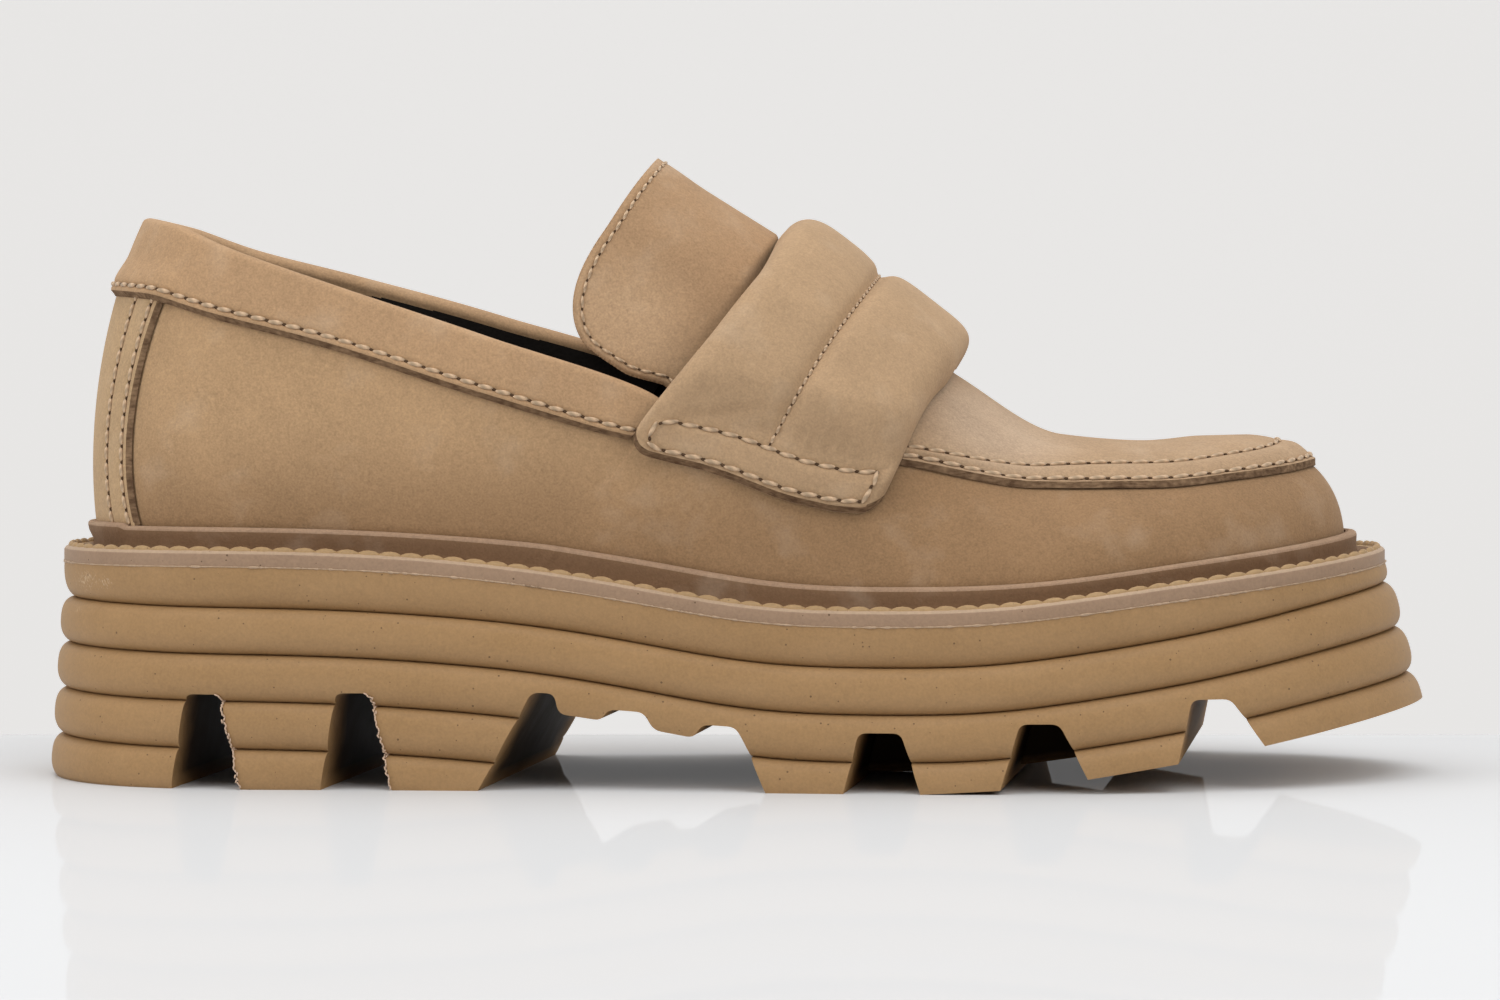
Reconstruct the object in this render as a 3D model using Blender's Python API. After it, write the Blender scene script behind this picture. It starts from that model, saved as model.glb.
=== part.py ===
"""Right-foot slip-on shoe with a thick ribbed sole: every solid, in one frame.

The shoe stands on its tread at z = 0 with its toe along +X and its inner (medial) side along +Y.
The upper is one surface swept round the foot: each station of the tables below gives one profile, from
the feather line, where the upper meets the sole, to the collar or to the spine of the vamp. The panels
laid over the upper are cut from that same surface, so that they stay parallel to it.
"""

import math
from collections import namedtuple

import bmesh
import bpy
import numpy as np

# Lengths in this script are in millimetres; MM turns them into metres when a mesh is made.
MM = 0.001

# Sizes that drive the last.
LAST_LENGTH = 251.0  # heel to toe along the feather line
BALL_WIDTH = 86.0  # across the feather line at the ball
HEEL_HEIGHT = 68.0  # collar at the back, above the heel seat
INSTEP_HEIGHT = 61.3  # top of the throat, above the heel seat
SEAT_HEIGHT = 43.2  # heel seat above the floor
HEEL_BACK = -127.8  # x of the feather line at the back
RIDGE_PITCH = math.radians(37.0)  # fall of the instep towards the toe

# Walls and gaps.
WALL = 2.0  # leather of the upper
GAP = 0.35  # between a panel and the upper
SEAT_GAP = 0.35  # between the outsole and what stands on it
PANEL = 1.4  # leather of the apron and the heel strip
BAND = 1.25  # leather of the collar band
BAND_TURN_IN = 9.0  # reach of its leaf inside the collar
BAND_ROUND = 0.5  # how far the shoulders of its fold step in
BAND_SHOULDER = 0.75  # height of those shoulders, as a share of the leather
BAND_STEPS = 5
INSOLE_THICK = 4.0
INSOLE_INSET = 2.6  # in from the feather line

# Welt: a flat strip, a bead set back from its edge and an upright lip against the upper.
STRIP_HEIGHT = 3.2
STRIP_CROWN = 0.2  # rise of the strip's top towards the bead
BEAD_HEIGHT = 1.5
BEAD_SET_BACK = 1.1
LIP_HEIGHT = 7.6
LIP_THICK = 2.2
LIP_CLEAR = 0.05  # foot of the lip above the foot of the upper

# Outsole: ribs that run parallel to the seat, and a tread with slanting notches.
RIB_EDGES = (6.9, 16.0, 25.2, 34.5, 43.8)  # depths of the grooves below the seat
RIB_BULGE = 1.9  # depth of the grooves between the ribs
RIB_PROFILE = ((0.14, 0.72), (0.5, 1.0), (0.86, 0.72))  # place across a rib, share of the bulge
SOLE_DEPTH = 50.0  # of the block before its tread is cut
TREAD_SLANT = math.radians(8.0)  # the notches run forward towards the inner side
TREAD_EDGE_Y = -45.0  # the tread table is read along this line, near the outer edge
SPRING_START = 40.0  # x where the tread leaves the floor
SPRING_REACH = 92.8
SPRING_RISE = 15.2
SPRING_POWER = 1.4
TREAD_BELOW = 30.0  # depth, reach and half width of the cutter of the tread
TREAD_REACH = 170.0
TREAD_HALF_WIDTH = 90.0

# Strap over the instep, with two padded channels and a flat tab at each end.
STRAP_BACK_REACH = 8.75  # how far it stands out behind its seat, along the ridge
STRAP_TAB_FLARE = 0.065  # how far the front of the tab runs ahead, as a share of the width
STRAP_SKIN = 2.0  # thickness at the tabs
STRAP_PAD = 5.2  # padding of the channels
STRAP_PAD_FROM = 0.13  # share of the climb to the ridge where the padding starts
STRAP_PAD_FULL = 0.28  # and where it is full
STRAP_PAD_POWER = 5  # how square the edges of the padding are
STRAP_SEAM = 2.2  # depth of the seam between the channels
STRAP_SEAM_WIDTH = 0.08  # as a share of the strap's width
STRAP_LIFT = 2.3  # clear of the upper, over the apron and the collar band
STRAP_TAB_LIFT = 0.5  # clear of the upper at the foot of the tab
STRAP_TAB_CLIMB = 0.09  # share of the climb over which it lifts off the upper
STRAP_TAB_BACK = 0.2  # share of the width, at the back, that lies over the collar band
STRAP_TAB_Z = (65.2, 54.6)  # foot of the tab at the back and at the front
STRAP_ACROSS = (0.0, 0.05, 0.16, 0.3, 0.42, 0.5, 0.58, 0.7, 0.84, 0.95, 1.0)
STRAP_STEPS = 11

# Tongue: an arch pushed along the ridge of the instep, with rounded rear corners.
TONGUE_HALF_WIDTH = 28.0
TONGUE_DROP = 38.0  # fall of its sides below its ridge
TONGUE_MIDDLE_Y = -0.9
TONGUE_REACH = 33.3  # behind the throat
TONGUE_ROOT = -12.0  # ahead of the throat, under the vamp
TONGUE_THICK = 2.4
TONGUE_RISE = 0.3  # height of its ridge above the vamp's
TONGUE_SINK = 3.4  # how far its root drops to pass under the vamp
TONGUE_STEP = 12.0  # length over which it rises again behind the throat
TONGUE_CORNER = 14.0  # how much shorter its corners are
TONGUE_CORNER_FROM = 0.75
TONGUE_CORNER_POWER = 2.4
TONGUE_ACROSS = 16
TONGUE_ALONG = 6

# Grid of the upper: steps below and above the line where its panels are cut.
LOW_STEPS = 5
HIGH_STEPS = 5

# Steps of the numerical work on the surface.
NEAR = 1e-4
T_ENDS = (0.002, 0.998)
HALVINGS = 30

# Feather line: place along the last, half widths as shares of half the ball width, and how many
# grid lines lead on to the next station.
Feather = namedtuple("Feather", "station along lat med lines")
FEATHER = (
    Feather("heel_back", 0.0, 0.0, 0.0, 2),
    Feather("heel_corner", 0.027, 0.445, 0.445, 2),
    Feather("heel_round", 0.082, 0.674, 0.674, 3),
    Feather("heel_side", 0.168, 0.758, 0.748, 3),
    Feather("quarter", 0.254, 0.791, 0.752, 3),
    Feather("collar_end", 0.3367, 0.816, 0.751, 1),
    Feather("throat_side", 0.3446, 0.818, 0.752, 1),
    Feather("throat_corner", 0.3496, 0.82, 0.753, 1),
    Feather("throat_shoulder", 0.3541, 0.821, 0.753, 1),
    Feather("throat_top", 0.3576, 0.822, 0.754, 1),
    Feather("strap_back", 0.3813, 0.835, 0.757, 2),
    Feather("mid_strap", 0.4486, 0.879, 0.786, 2),
    Feather("strap_front", 0.5466, 0.94, 0.858, 3),
    Feather("ball", 0.6697, 1.0, 0.958, 3),
    Feather("joint", 0.7733, 0.972, 1.0, 3),
    Feather("toe_side", 0.8733, 0.814, 0.937, 3),
    Feather("toe_corner", 0.9486, 0.523, 0.721, 2),
    Feather("toe_round", 0.989, 0.186, 0.453, 2),
    Feather("toe_tip", 1.0, -0.14, 0.14, 0),
)

# Collar edge: place along the last, half widths as above, heights as shares of HEEL_HEIGHT.
Collar = namedtuple("Collar", "station along lat med rise_lat rise_med")
COLLAR = (
    Collar("heel_back", 0.0327, 0.0, 0.0, 1.0, 1.0),
    Collar("heel_corner", 0.059, 0.35, 0.35, 0.976, 0.976),
    Collar("heel_round", 0.106, 0.558, 0.558, 0.891, 0.893),
    Collar("heel_side", 0.1917, 0.681, 0.672, 0.794, 0.799),
    Collar("quarter", 0.3108, 0.757, 0.73, 0.653, 0.676),
    Collar("collar_end", 0.445, 0.784, 0.727, 0.472, 0.52),
    Collar("throat_side", 0.449, 0.788, 0.731, 0.4555, 0.5015),
    Collar("throat_corner", 0.5223, 0.497, 0.483, 0.8098, 0.8098),
    Collar("throat_shoulder", 0.541, 0.28, 0.276, 0.8793, 0.8793),
)

# Spine of the vamp: place along the last, swing to the inner side, height as a share of INSTEP_HEIGHT.
Spine = namedtuple("Spine", "station along swing rise")
SPINE = (
    Spine("throat_top", 0.549, 0.0, 1.0),
    Spine("strap_back", 0.565, 0.0, 0.951),
    Spine("mid_strap", 0.6183, 0.0, 0.7863),
    Spine("strap_front", 0.6857, 0.0, 0.581),
    Spine("ball", 0.7693, 0.0, 0.3915),
    Spine("joint", 0.837, 0.02, 0.37),
    Spine("toe_side", 0.8813, 0.06, 0.385),
    Spine("toe_corner", 0.9044, 0.09, 0.3872),
    Spine("toe_round", 0.9163, 0.12, 0.388),
    Spine("toe_tip", 0.9207, 0.13, 0.3882),
)

# Fullness of each profile: handles at its foot (out, up) and at its top (out, down), the height of the
# line where bands and apron are cut, as a share of HEEL_HEIGHT, then the sole's flare per millimetre of
# depth, the lift of its ribs and the margin of the welt.
Fullness = namedtuple(
    "Fullness", "station out_low up_low out_top drop_top line flare rib_lift margin"
)
FULLNESS = (
    Fullness("heel_back", 4.0, 15.0, 11.0, 23.0, 0.782, 0.07, 0.0, 9.2),
    Fullness("heel_corner", 3.6, 15.0, 9.0, 23.0, 0.771, 0.07, 0.0, 9.0),
    Fullness("heel_round", 3.2, 15.0, 7.0, 22.0, 0.715, 0.06, 0.0, 8.0),
    Fullness("heel_side", 2.6, 15.0, 5.0, 20.0, 0.632, 0.05, 0.0, 7.2),
    Fullness("quarter", 1.9, 15.0, 3.6, 15.0, 0.5, 0.04, 0.0, 7.0),
    Fullness("collar_end", 1.1, 13.4, 2.1, 10.3, 0.368, 0.04, 0.0, 7.0),
    Fullness("throat_side", 1.05, 13.0, 2.0, 10.0, 0.364, 0.04, 0.0, 7.0),
    Fullness("throat_corner", 2.1, 25.9, 12.1, 10.5, 0.362, 0.04, 0.0, 7.0),
    Fullness("throat_shoulder", 2.55, 31.45, 19.8, 6.8, 0.36, 0.04, 0.0, 7.0),
    Fullness("throat_top", 3.0, 37.0, 30.0, 0.5, 0.358, 0.04, 0.0, 7.0),
    Fullness("strap_back", 3.0, 36.0, 30.0, 0.0, 0.35, 0.04, 0.0, 7.0),
    Fullness("mid_strap", 3.0, 33.0, 30.0, 0.0, 0.326, 0.05, 0.0, 7.0),
    Fullness("strap_front", 3.0, 27.0, 29.0, 0.0, 0.298, 0.05, 0.0, 7.0),
    Fullness("ball", 3.0, 20.0, 28.0, 0.0, 0.241, 0.06, 0.0, 7.2),
    Fullness("joint", 3.0, 18.0, 28.0, 0.0, 0.2265, 0.08, 0.3, 7.4),
    Fullness("toe_side", 3.0, 16.0, 24.0, 0.0, 0.241, 0.12, 0.8, 7.8),
    Fullness("toe_corner", 2.6, 14.5, 20.0, 0.0, 0.259, 0.18, 1.4, 8.2),
    Fullness("toe_round", 2.2, 13.8, 17.0, 0.0, 0.2735, 0.23, 1.9, 8.5),
    Fullness("toe_tip", 2.0, 13.5, 15.0, 0.0, 0.279, 0.26, 2.0, 8.5),
)

# Seat line: height of the top of the outsole along the shoe.
Seat = namedtuple("Seat", "x z")
SEAT = (
    Seat(-145.0, 43.2),
    Seat(-85.0, 43.2),
    Seat(-54.0, 41.4),
    Seat(-22.0, 37.0),
    Seat(3.0, 33.1),
    Seat(27.0, 32.2),
    Seat(50.0, 32.9),
    Seat(80.0, 36.4),
    Seat(110.0, 40.0),
    Seat(145.0, 44.6),
)

# Tread notches: feet and tops of the two walls, and the height of the roof between them.
Notch = namedtuple("Notch", "back_foot back_top front_top front_foot roof")
HEEL_NOTCHES = (
    Notch(-111.0, -107.5, -102.0, -97.5, 18.5),
    Notch(-81.5, -78.0, -71.7, -67.8, 18.9),
)
BALL_NOTCHES = (
    Notch(20.9, 23.8, 32.1, 36.0, 11.8),
    Notch(51.5, 55.2, 62.8, 68.4, 13.6),
    Notch(85.7, 88.2, 95.6, 102.3, 18.0),
)

# Underside of the arch, from the breast of the heel to the first lug of the forefoot.
Arch = namedtuple("Arch", "x z")
ARCH = (
    Arch(-51.2, 0.0),
    Arch(-40.8, 19.2),
    Arch(-36.3, 19.0),
    Arch(-35.4, 15.0),
    Arch(-27.0, 13.8),
    Arch(-25.5, 16.0),
    Arch(-18.5, 15.5),
    Arch(-16.5, 12.0),
    Arch(-8.6, 10.6),
    Arch(-7.0, 13.2),
    Arch(-0.5, 12.8),
    Arch(1.0, 10.5),
    Arch(5.6, 0.0),
)
SPRING_POINTS = (112.0, 122.0, 132.0, 142.0)

COLOURS = {
    "nubuck": ((0.44, 0.28, 0.16, 1.0), 0.85),
    "rubber": ((0.36, 0.21, 0.105, 1.0), 0.6),
    "welt": ((0.33, 0.2, 0.115, 1.0), 0.65),
    "lining": ((0.03, 0.03, 0.035, 1.0), 0.9),
}


class Curve:
    """A cubic through knots: smooth in curvature, or steady, which never overshoots its values."""

    def __init__(self, knots, values, period=None, steady=False):
        self.period = period
        self.knots = np.asarray(knots, float)
        self.values = np.asarray(values, float)
        if period:
            self.knots = np.append(self.knots, self.knots[0] + period)
            self.values = np.append(self.values, self.values[0])
        self.steps = np.diff(self.knots)
        self.rates = np.diff(self.values) / self.steps
        self.slopes = self.steady_slopes() if steady else self.smooth_slopes()

    def around(self):
        """Step and rate before and after each knot, with the ends joined or repeated."""
        steps, rates = self.steps, self.rates
        first, last = (-1, 0) if self.period else (0, -1)
        step_in = np.concatenate([[steps[first]], steps])
        rate_in = np.concatenate([[rates[first]], rates])
        step_out = np.append(steps, steps[last])
        rate_out = np.append(rates, rates[last])
        return step_in, rate_in, step_out, rate_out

    def steady_slopes(self):
        step_in, rate_in, step_out, rate_out = self.around()
        same_way = rate_in * rate_out > 0
        weight_in = 2 * step_out + step_in
        weight_out = step_out + 2 * step_in
        safe_in = np.where(same_way, rate_in, 1.0)
        safe_out = np.where(same_way, rate_out, 1.0)
        mean = (weight_in + weight_out) / (weight_in / safe_in + weight_out / safe_out)
        return np.where(same_way, mean, 0.0)

    def smooth_slopes(self):
        count = len(self.knots)
        step_in, rate_in, step_out, rate_out = self.around()
        matrix = np.zeros((count, count))
        right = 3 * (rate_in / step_in + rate_out / step_out)
        for i in range(count):
            before = (i - 1) % (count - 1) if self.period else max(i - 1, 0)
            after = (i + 1) % (count - 1) if self.period else min(i + 1, count - 1)
            matrix[i, before] += 1 / step_in[i]
            matrix[i, i] += 2 / step_in[i] + 2 / step_out[i]
            matrix[i, after] += 1 / step_out[i]
        return np.linalg.solve(matrix, right)

    def __call__(self, place):
        place = np.asarray(place, float)
        if self.period:
            place = self.knots[0] + np.mod(place - self.knots[0], self.period)
        i = np.clip(np.searchsorted(self.knots, place, side="right") - 1, 0, len(self.steps) - 1)
        step = self.steps[i]
        t = (place - self.knots[i]) / step
        rise = t * t * (3 - 2 * t)
        start = t * (1 - t) ** 2 * step * self.slopes[i]
        end = t * t * (t - 1) * step * self.slopes[i + 1]
        return self.values[i] * (1 - rise) + self.values[i + 1] * rise + start + end


def both_sides(lat, med):
    """One closed round of a column: heel to toe on the outer side, then back on the inner side."""
    return np.concatenate([lat, np.asarray(med)[-2:0:-1]])


def station_knots():
    """Place of each station on a side, from 0 at the heel to 1 at the toe, by length of the outline."""
    along = np.array([row.along for row in FEATHER]) * LAST_LENGTH
    lengths = []
    for side in ("lat", "med"):
        out = np.array([getattr(row, side) for row in FEATHER]) * BALL_WIDTH / 2
        lengths.append(np.hypot(np.diff(along), np.diff(out)))
    steps = np.mean(lengths, axis=0)
    return np.concatenate([[0.0], np.cumsum(steps)]) / steps.sum()


KNOTS = station_knots()
PLACE = {row.station: knot for row, knot in zip(FEATHER, KNOTS)}
ROUND = both_sides(KNOTS, 2 - KNOTS)


def column(lat, med=None, steady=True):
    """A closed curve round the shoe through a column's values on its two sides."""
    return Curve(ROUND, both_sides(lat, lat if med is None else med), 2.0, steady)


def feather_curves():
    half = BALL_WIDTH / 2
    x = [HEEL_BACK + row.along * LAST_LENGTH for row in FEATHER]
    lat = [-row.lat * half for row in FEATHER]
    med = [row.med * half for row in FEATHER]
    return column(x, steady=False), column(lat, med, steady=False)


def top_curves():
    """Collar edge on the quarters, spine on the vamp, as one closed round."""
    half = BALL_WIDTH / 2
    x = [HEEL_BACK + row.along * LAST_LENGTH for row in COLLAR + SPINE]
    spine_y = [row.swing * half for row in SPINE]
    spine_z = [SEAT_HEIGHT + row.rise * INSTEP_HEIGHT for row in SPINE]
    lat_y = [-row.lat * half for row in COLLAR] + spine_y
    med_y = [row.med * half for row in COLLAR] + spine_y
    lat_z = [SEAT_HEIGHT + row.rise_lat * HEEL_HEIGHT for row in COLLAR] + spine_z
    med_z = [SEAT_HEIGHT + row.rise_med * HEEL_HEIGHT for row in COLLAR] + spine_z
    return column(x), column(lat_y, med_y), column(lat_z, med_z)


FOOT_X, FOOT_Y = feather_curves()
TOP_X, TOP_Y, TOP_Z = top_curves()
SEAT_Z = Curve([row.x for row in SEAT], [row.z for row in SEAT])
OUT_LOW, UP_LOW, OUT_TOP, DROP_TOP, LINE, FLARE, RIB_LIFT, MARGIN = (
    column([getattr(row, name) for row in FULLNESS]) for name in Fullness._fields[1:]
)


def outward(q):
    """Unit normal of the feather line in plan, away from the foot."""
    dx = FOOT_X(q + NEAR) - FOOT_X(q - NEAR)
    dy = FOOT_Y(q + NEAR) - FOOT_Y(q - NEAR)
    length = np.hypot(dx, dy)
    return dy / length, -dx / length


def profile(q):
    """The four control points of the upper's profile at each place q, as an array (4, ..., 3)."""
    nx, ny = outward(q)
    foot = np.stack([FOOT_X(q), FOOT_Y(q), SEAT_Z(FOOT_X(q)) + SEAT_GAP], -1)
    top = np.stack([TOP_X(q), TOP_Y(q), TOP_Z(q)], -1)
    span = top - foot
    lean = (span[..., 1] * nx - span[..., 0] * ny) / span[..., 2]
    up, drop = UP_LOW(q), DROP_TOP(q)
    low = foot + np.stack([nx * OUT_LOW(q) - ny * lean * up, ny * OUT_LOW(q) + nx * lean * up, up], -1)
    high = top + np.stack(
        [nx * OUT_TOP(q) + ny * lean * drop, ny * OUT_TOP(q) - nx * lean * drop, -drop], -1
    )
    return np.stack([foot, low, high, top])


def surface(q, t):
    """Outer surface of the upper at place q round the foot and height t from feather line to top."""
    foot, low, high, top = profile(q)
    t = np.asarray(t)[..., None]
    s = 1 - t
    return foot * s**3 + low * 3 * s * s * t + high * 3 * s * t * t + top * t**3


def normal(q, t):
    """Unit normal of that surface, away from the foot."""
    t = np.clip(t, *T_ENDS)
    along = surface(q + NEAR, t) - surface(q - NEAR, t)
    up = surface(q, t + NEAR) - surface(q, t - NEAR)
    out = np.cross(along, up)
    return out / np.linalg.norm(out, axis=-1, keepdims=True)


def lifted(q, t, lift):
    """A point of the upper's surface moved along its normal."""
    return surface(q, t) + normal(q, t) * np.asarray(lift)[..., None]


def t_at_height(q, z):
    """Height t at which each profile reaches z."""
    low = np.zeros(np.shape(q))
    high = np.ones(np.shape(q))
    for _ in range(HALVINGS):
        middle = (low + high) / 2
        above = surface(q, middle)[..., 2] > z
        high = np.where(above, middle, high)
        low = np.where(above, low, middle)
    return (low + high) / 2


def t_of_line(q):
    return t_at_height(q, SEAT_HEIGHT + LINE(q) * HEEL_HEIGHT)


def side_places():
    """Grid lines of one side, heel to toe, with every station on a line."""
    places = []
    for row, start, end in zip(FEATHER, KNOTS, KNOTS[1:]):
        places.extend(start + (end - start) * i / row.lines for i in range(row.lines))
    return np.array(places + [1.0])


SIDE = side_places()
LOOP = both_sides(SIDE, 2 - SIDE)
COUNT = len(LOOP)


def line_index(station):
    """Number of the grid line that passes through a station, on the outer side."""
    return int(np.argmin(np.abs(SIDE - PLACE[station])))


def partner(i):
    """The grid line across the foot from line i."""
    return (COUNT - i) % COUNT


def mesh_object(name, points, faces, colour):
    """An object with closed, outward mesh and its own material."""
    bm = bmesh.new()
    verts = [bm.verts.new(np.asarray(p, float) * MM) for p in points]
    for face in faces:
        corners = list(dict.fromkeys(face))
        if len(corners) > 2:
            bm.faces.new([verts[i] for i in corners])
    bmesh.ops.recalc_face_normals(bm, faces=bm.faces)
    mesh = bpy.data.meshes.new(name)
    bm.to_mesh(mesh)
    bm.free()
    mesh.polygons.foreach_set("use_smooth", [True] * len(mesh.polygons))
    obj = bpy.data.objects.new(name, mesh)
    bpy.context.scene.collection.objects.link(obj)
    shade, rough = COLOURS[colour]
    material = bpy.data.materials.new(name)
    material.use_nodes = True
    shader = material.node_tree.nodes["Principled BSDF"]
    shader.inputs["Base Color"].default_value = shade
    shader.inputs["Roughness"].default_value = rough
    shader.inputs["Metallic"].default_value = 0.0
    material.diffuse_color = shade
    mesh.materials.append(material)
    return obj


def shell(name, outer, inner, faces, colour):
    """A solid between two sheets of the same layout, closed along their free edges."""
    count = len(outer)
    edges = {}
    for face in faces:
        corners = list(dict.fromkeys(face))
        for a, b in zip(corners, corners[1:] + corners[:1]):
            edges[(a, b)] = True
    rim = [(b, a, a + count, b + count) for a, b in edges if (b, a) not in edges]
    back = [tuple(i + count for i in reversed(face)) for face in faces]
    return mesh_object(name, np.concatenate([outer, inner]), list(faces) + back + rim, colour)


def sweep(name, sections, closed, colour):
    """A solid through rings of points: joined end to end, or capped."""
    rings, around, _ = sections.shape
    faces = []
    for i in range(rings if closed else rings - 1):
        nxt = (i + 1) % rings
        for j in range(around):
            k = (j + 1) % around
            faces.append((i * around + j, nxt * around + j, nxt * around + k, i * around + k))
    if not closed:
        faces.append(tuple(range(around)))
        faces.append(tuple(reversed(range((rings - 1) * around, rings * around))))
    return mesh_object(name, sections.reshape(-1, 3), faces, colour)


def strips(offset):
    """Faces that close a ring of COUNT points by strips from the outer to the inner side."""
    half = len(SIDE) - 1
    faces = []
    for i in range(half):
        faces.append((offset + i, offset + i + 1, offset + partner(i + 1), offset + partner(i)))
    return faces


def panel_sheet(lines, t_grid, lift):
    """Points of part of the upper's surface, and one row of point numbers for each grid line.

    The two sides share their points along the spine.
    """
    places = LOOP[lines]
    rows = t_grid.shape[1]
    grid = lifted(places[:, None] + np.zeros(rows), t_grid, np.full(t_grid.shape, lift))
    number = np.arange(grid.size // 3).reshape(len(lines), rows)
    spot = {int(line): k for k, line in enumerate(lines)}
    throat = line_index("throat_top")
    toe = len(SIDE) - 1
    for line, k in spot.items():
        across = spot.get(partner(line))
        if throat <= line < toe and across is not None:
            middle = (grid[k, -1] + grid[across, -1]) / 2
            grid[k, -1] = grid[across, -1] = middle
            number[across, -1] = number[k, -1]
    return grid.reshape(-1, 3), number


def sheet_faces(number, closed=False):
    """Triangles between grid lines, split the same way in every sheet so that sheets stay parallel."""
    lines, rows = number.shape
    faces = []
    for i in range(lines if closed else lines - 1):
        nxt = (i + 1) % lines
        for j in range(rows - 1):
            low, far_low = int(number[i, j]), int(number[nxt, j])
            high, far_high = int(number[i, j + 1]), int(number[nxt, j + 1])
            faces.append((low, far_low, far_high))
            if high != far_high:
                faces.append((low, far_high, high))
    return faces


def tidy(points, faces):
    """Drops the points that no face uses and numbers the rest again."""
    used = sorted({int(i) for face in faces for i in face})
    fresh = {old: new for new, old in enumerate(used)}
    return points[used], [tuple(fresh[int(i)] for i in face) for face in faces]


def panel(name, lines, t_grid, lift, thick, colour, closed=False):
    """A panel of even thickness, its inner face at the given lift from the upper's outer surface."""
    outer, number = panel_sheet(lines, t_grid, lift + thick)
    inner, _ = panel_sheet(lines, t_grid, lift)
    faces = sheet_faces(number, closed)
    outer_used, fresh = tidy(outer, faces)
    inner_used, _ = tidy(inner, faces)
    return shell(name, outer_used, inner_used, fresh, colour)


def t_rows(start, end, steps):
    """Evenly spaced heights for each grid line between two heights."""
    share = np.linspace(0.0, 1.0, steps + 1)
    return start[:, None] * (1 - share) + end[:, None] * share


def build_upper():
    """The hollow upper: open at the collar and throat, and underneath where the sole closes it."""
    lines = np.arange(COUNT)
    line = t_of_line(LOOP)
    low = t_rows(np.zeros(COUNT), line, LOW_STEPS)
    high = t_rows(line, np.ones(COUNT), HIGH_STEPS)
    t_grid = np.concatenate([low, high[:, 1:]], axis=1)
    return panel("upper", lines, t_grid, -WALL, WALL, "nubuck", closed=True)


def build_apron():
    """Apron over the vamp, from under the strap to the toe, with a raw edge along the line."""
    start = line_index("mid_strap")
    lines = np.arange(start, partner(start) + 1)
    line = t_of_line(LOOP[lines])
    t_grid = t_rows(line, np.ones(len(lines)), HIGH_STEPS)
    return panel("apron", lines, t_grid, GAP, PANEL, "nubuck")


def build_heel_strip():
    """Stay over the back seam, between the welt's lip and the collar band."""
    reach = line_index("heel_corner")
    lines = np.arange(-reach, reach + 1) % COUNT
    places = LOOP[lines]
    lip = t_at_height(places, SEAT_Z(FOOT_X(places)) + LIP_HEIGHT + 2 * GAP)
    top = t_at_height(places, SEAT_HEIGHT + LINE(places) * HEEL_HEIGHT - GAP)
    return panel("heel_strip", lines, t_rows(lip, top, LOW_STEPS), GAP, PANEL, "nubuck")


def build_collar_band():
    """Band folded over the collar edge: an outer leaf down to the line and a short inner leaf."""
    reach = line_index("collar_end")
    lines = np.arange(-reach, reach + 1) % COUNT
    places = LOOP[lines]
    line = t_of_line(places)
    edge = np.ones(len(lines))
    span = np.linalg.norm(surface(places, edge) - surface(places, line), axis=1)
    leaf = t_rows(line, edge, BAND_STEPS - 1)
    turn = t_rows(1 - (1 - line) * BAND_TURN_IN / span, edge, BAND_STEPS // 2)
    up = surface(places, edge) - surface(places, edge * T_ENDS[1])
    up /= np.linalg.norm(up, axis=1, keepdims=True)

    def sheet(heights, lift):
        spread = places[:, None] + np.zeros(heights.shape[1])
        return lifted(spread, heights, np.full(heights.shape, lift))

    def over(lift, rise):
        return (lifted(places, edge, edge * lift) + up * rise)[:, None]

    outside = GAP + BAND
    inside = -WALL - GAP - BAND
    shoulder = GAP + BAND_SHOULDER * BAND
    sections = np.concatenate(
        [
            sheet(leaf, outside),
            over(outside - BAND_ROUND, shoulder),
            over(-WALL / 2, GAP + BAND),
            over(inside + BAND_ROUND, shoulder),
            sheet(turn[:, ::-1], inside),
            sheet(turn, -WALL - GAP),
            over(-WALL - GAP, GAP),
            over(GAP, GAP),
            sheet(leaf[:, ::-1], GAP),
        ],
        axis=1,
    )
    return sweep("collar_band", sections, False, "nubuck")


def ridge_axes():
    """Directions up along the instep's ridge and square to it."""
    along = np.array([-math.cos(RIDGE_PITCH), 0.0, math.sin(RIDGE_PITCH)])
    square = np.array([math.sin(RIDGE_PITCH), 0.0, math.cos(RIDGE_PITCH)])
    return along, square


def strap_thickness(across, climb):
    """Thickness of the strap: flat at the tab, then two padded channels with a seam between."""
    fade = np.clip((climb - STRAP_PAD_FROM) / (STRAP_PAD_FULL - STRAP_PAD_FROM), 0.0, 1.0)
    fade = fade * fade * (3 - 2 * fade)
    edge = np.sqrt(np.clip(1 - np.abs(2 * across - 1) ** STRAP_PAD_POWER, 0.0, 1.0))
    seam = np.exp(-(((across - 0.5) / STRAP_SEAM_WIDTH) ** 2))
    return STRAP_SKIN + fade * (STRAP_PAD * edge - STRAP_SEAM * seam)


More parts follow.
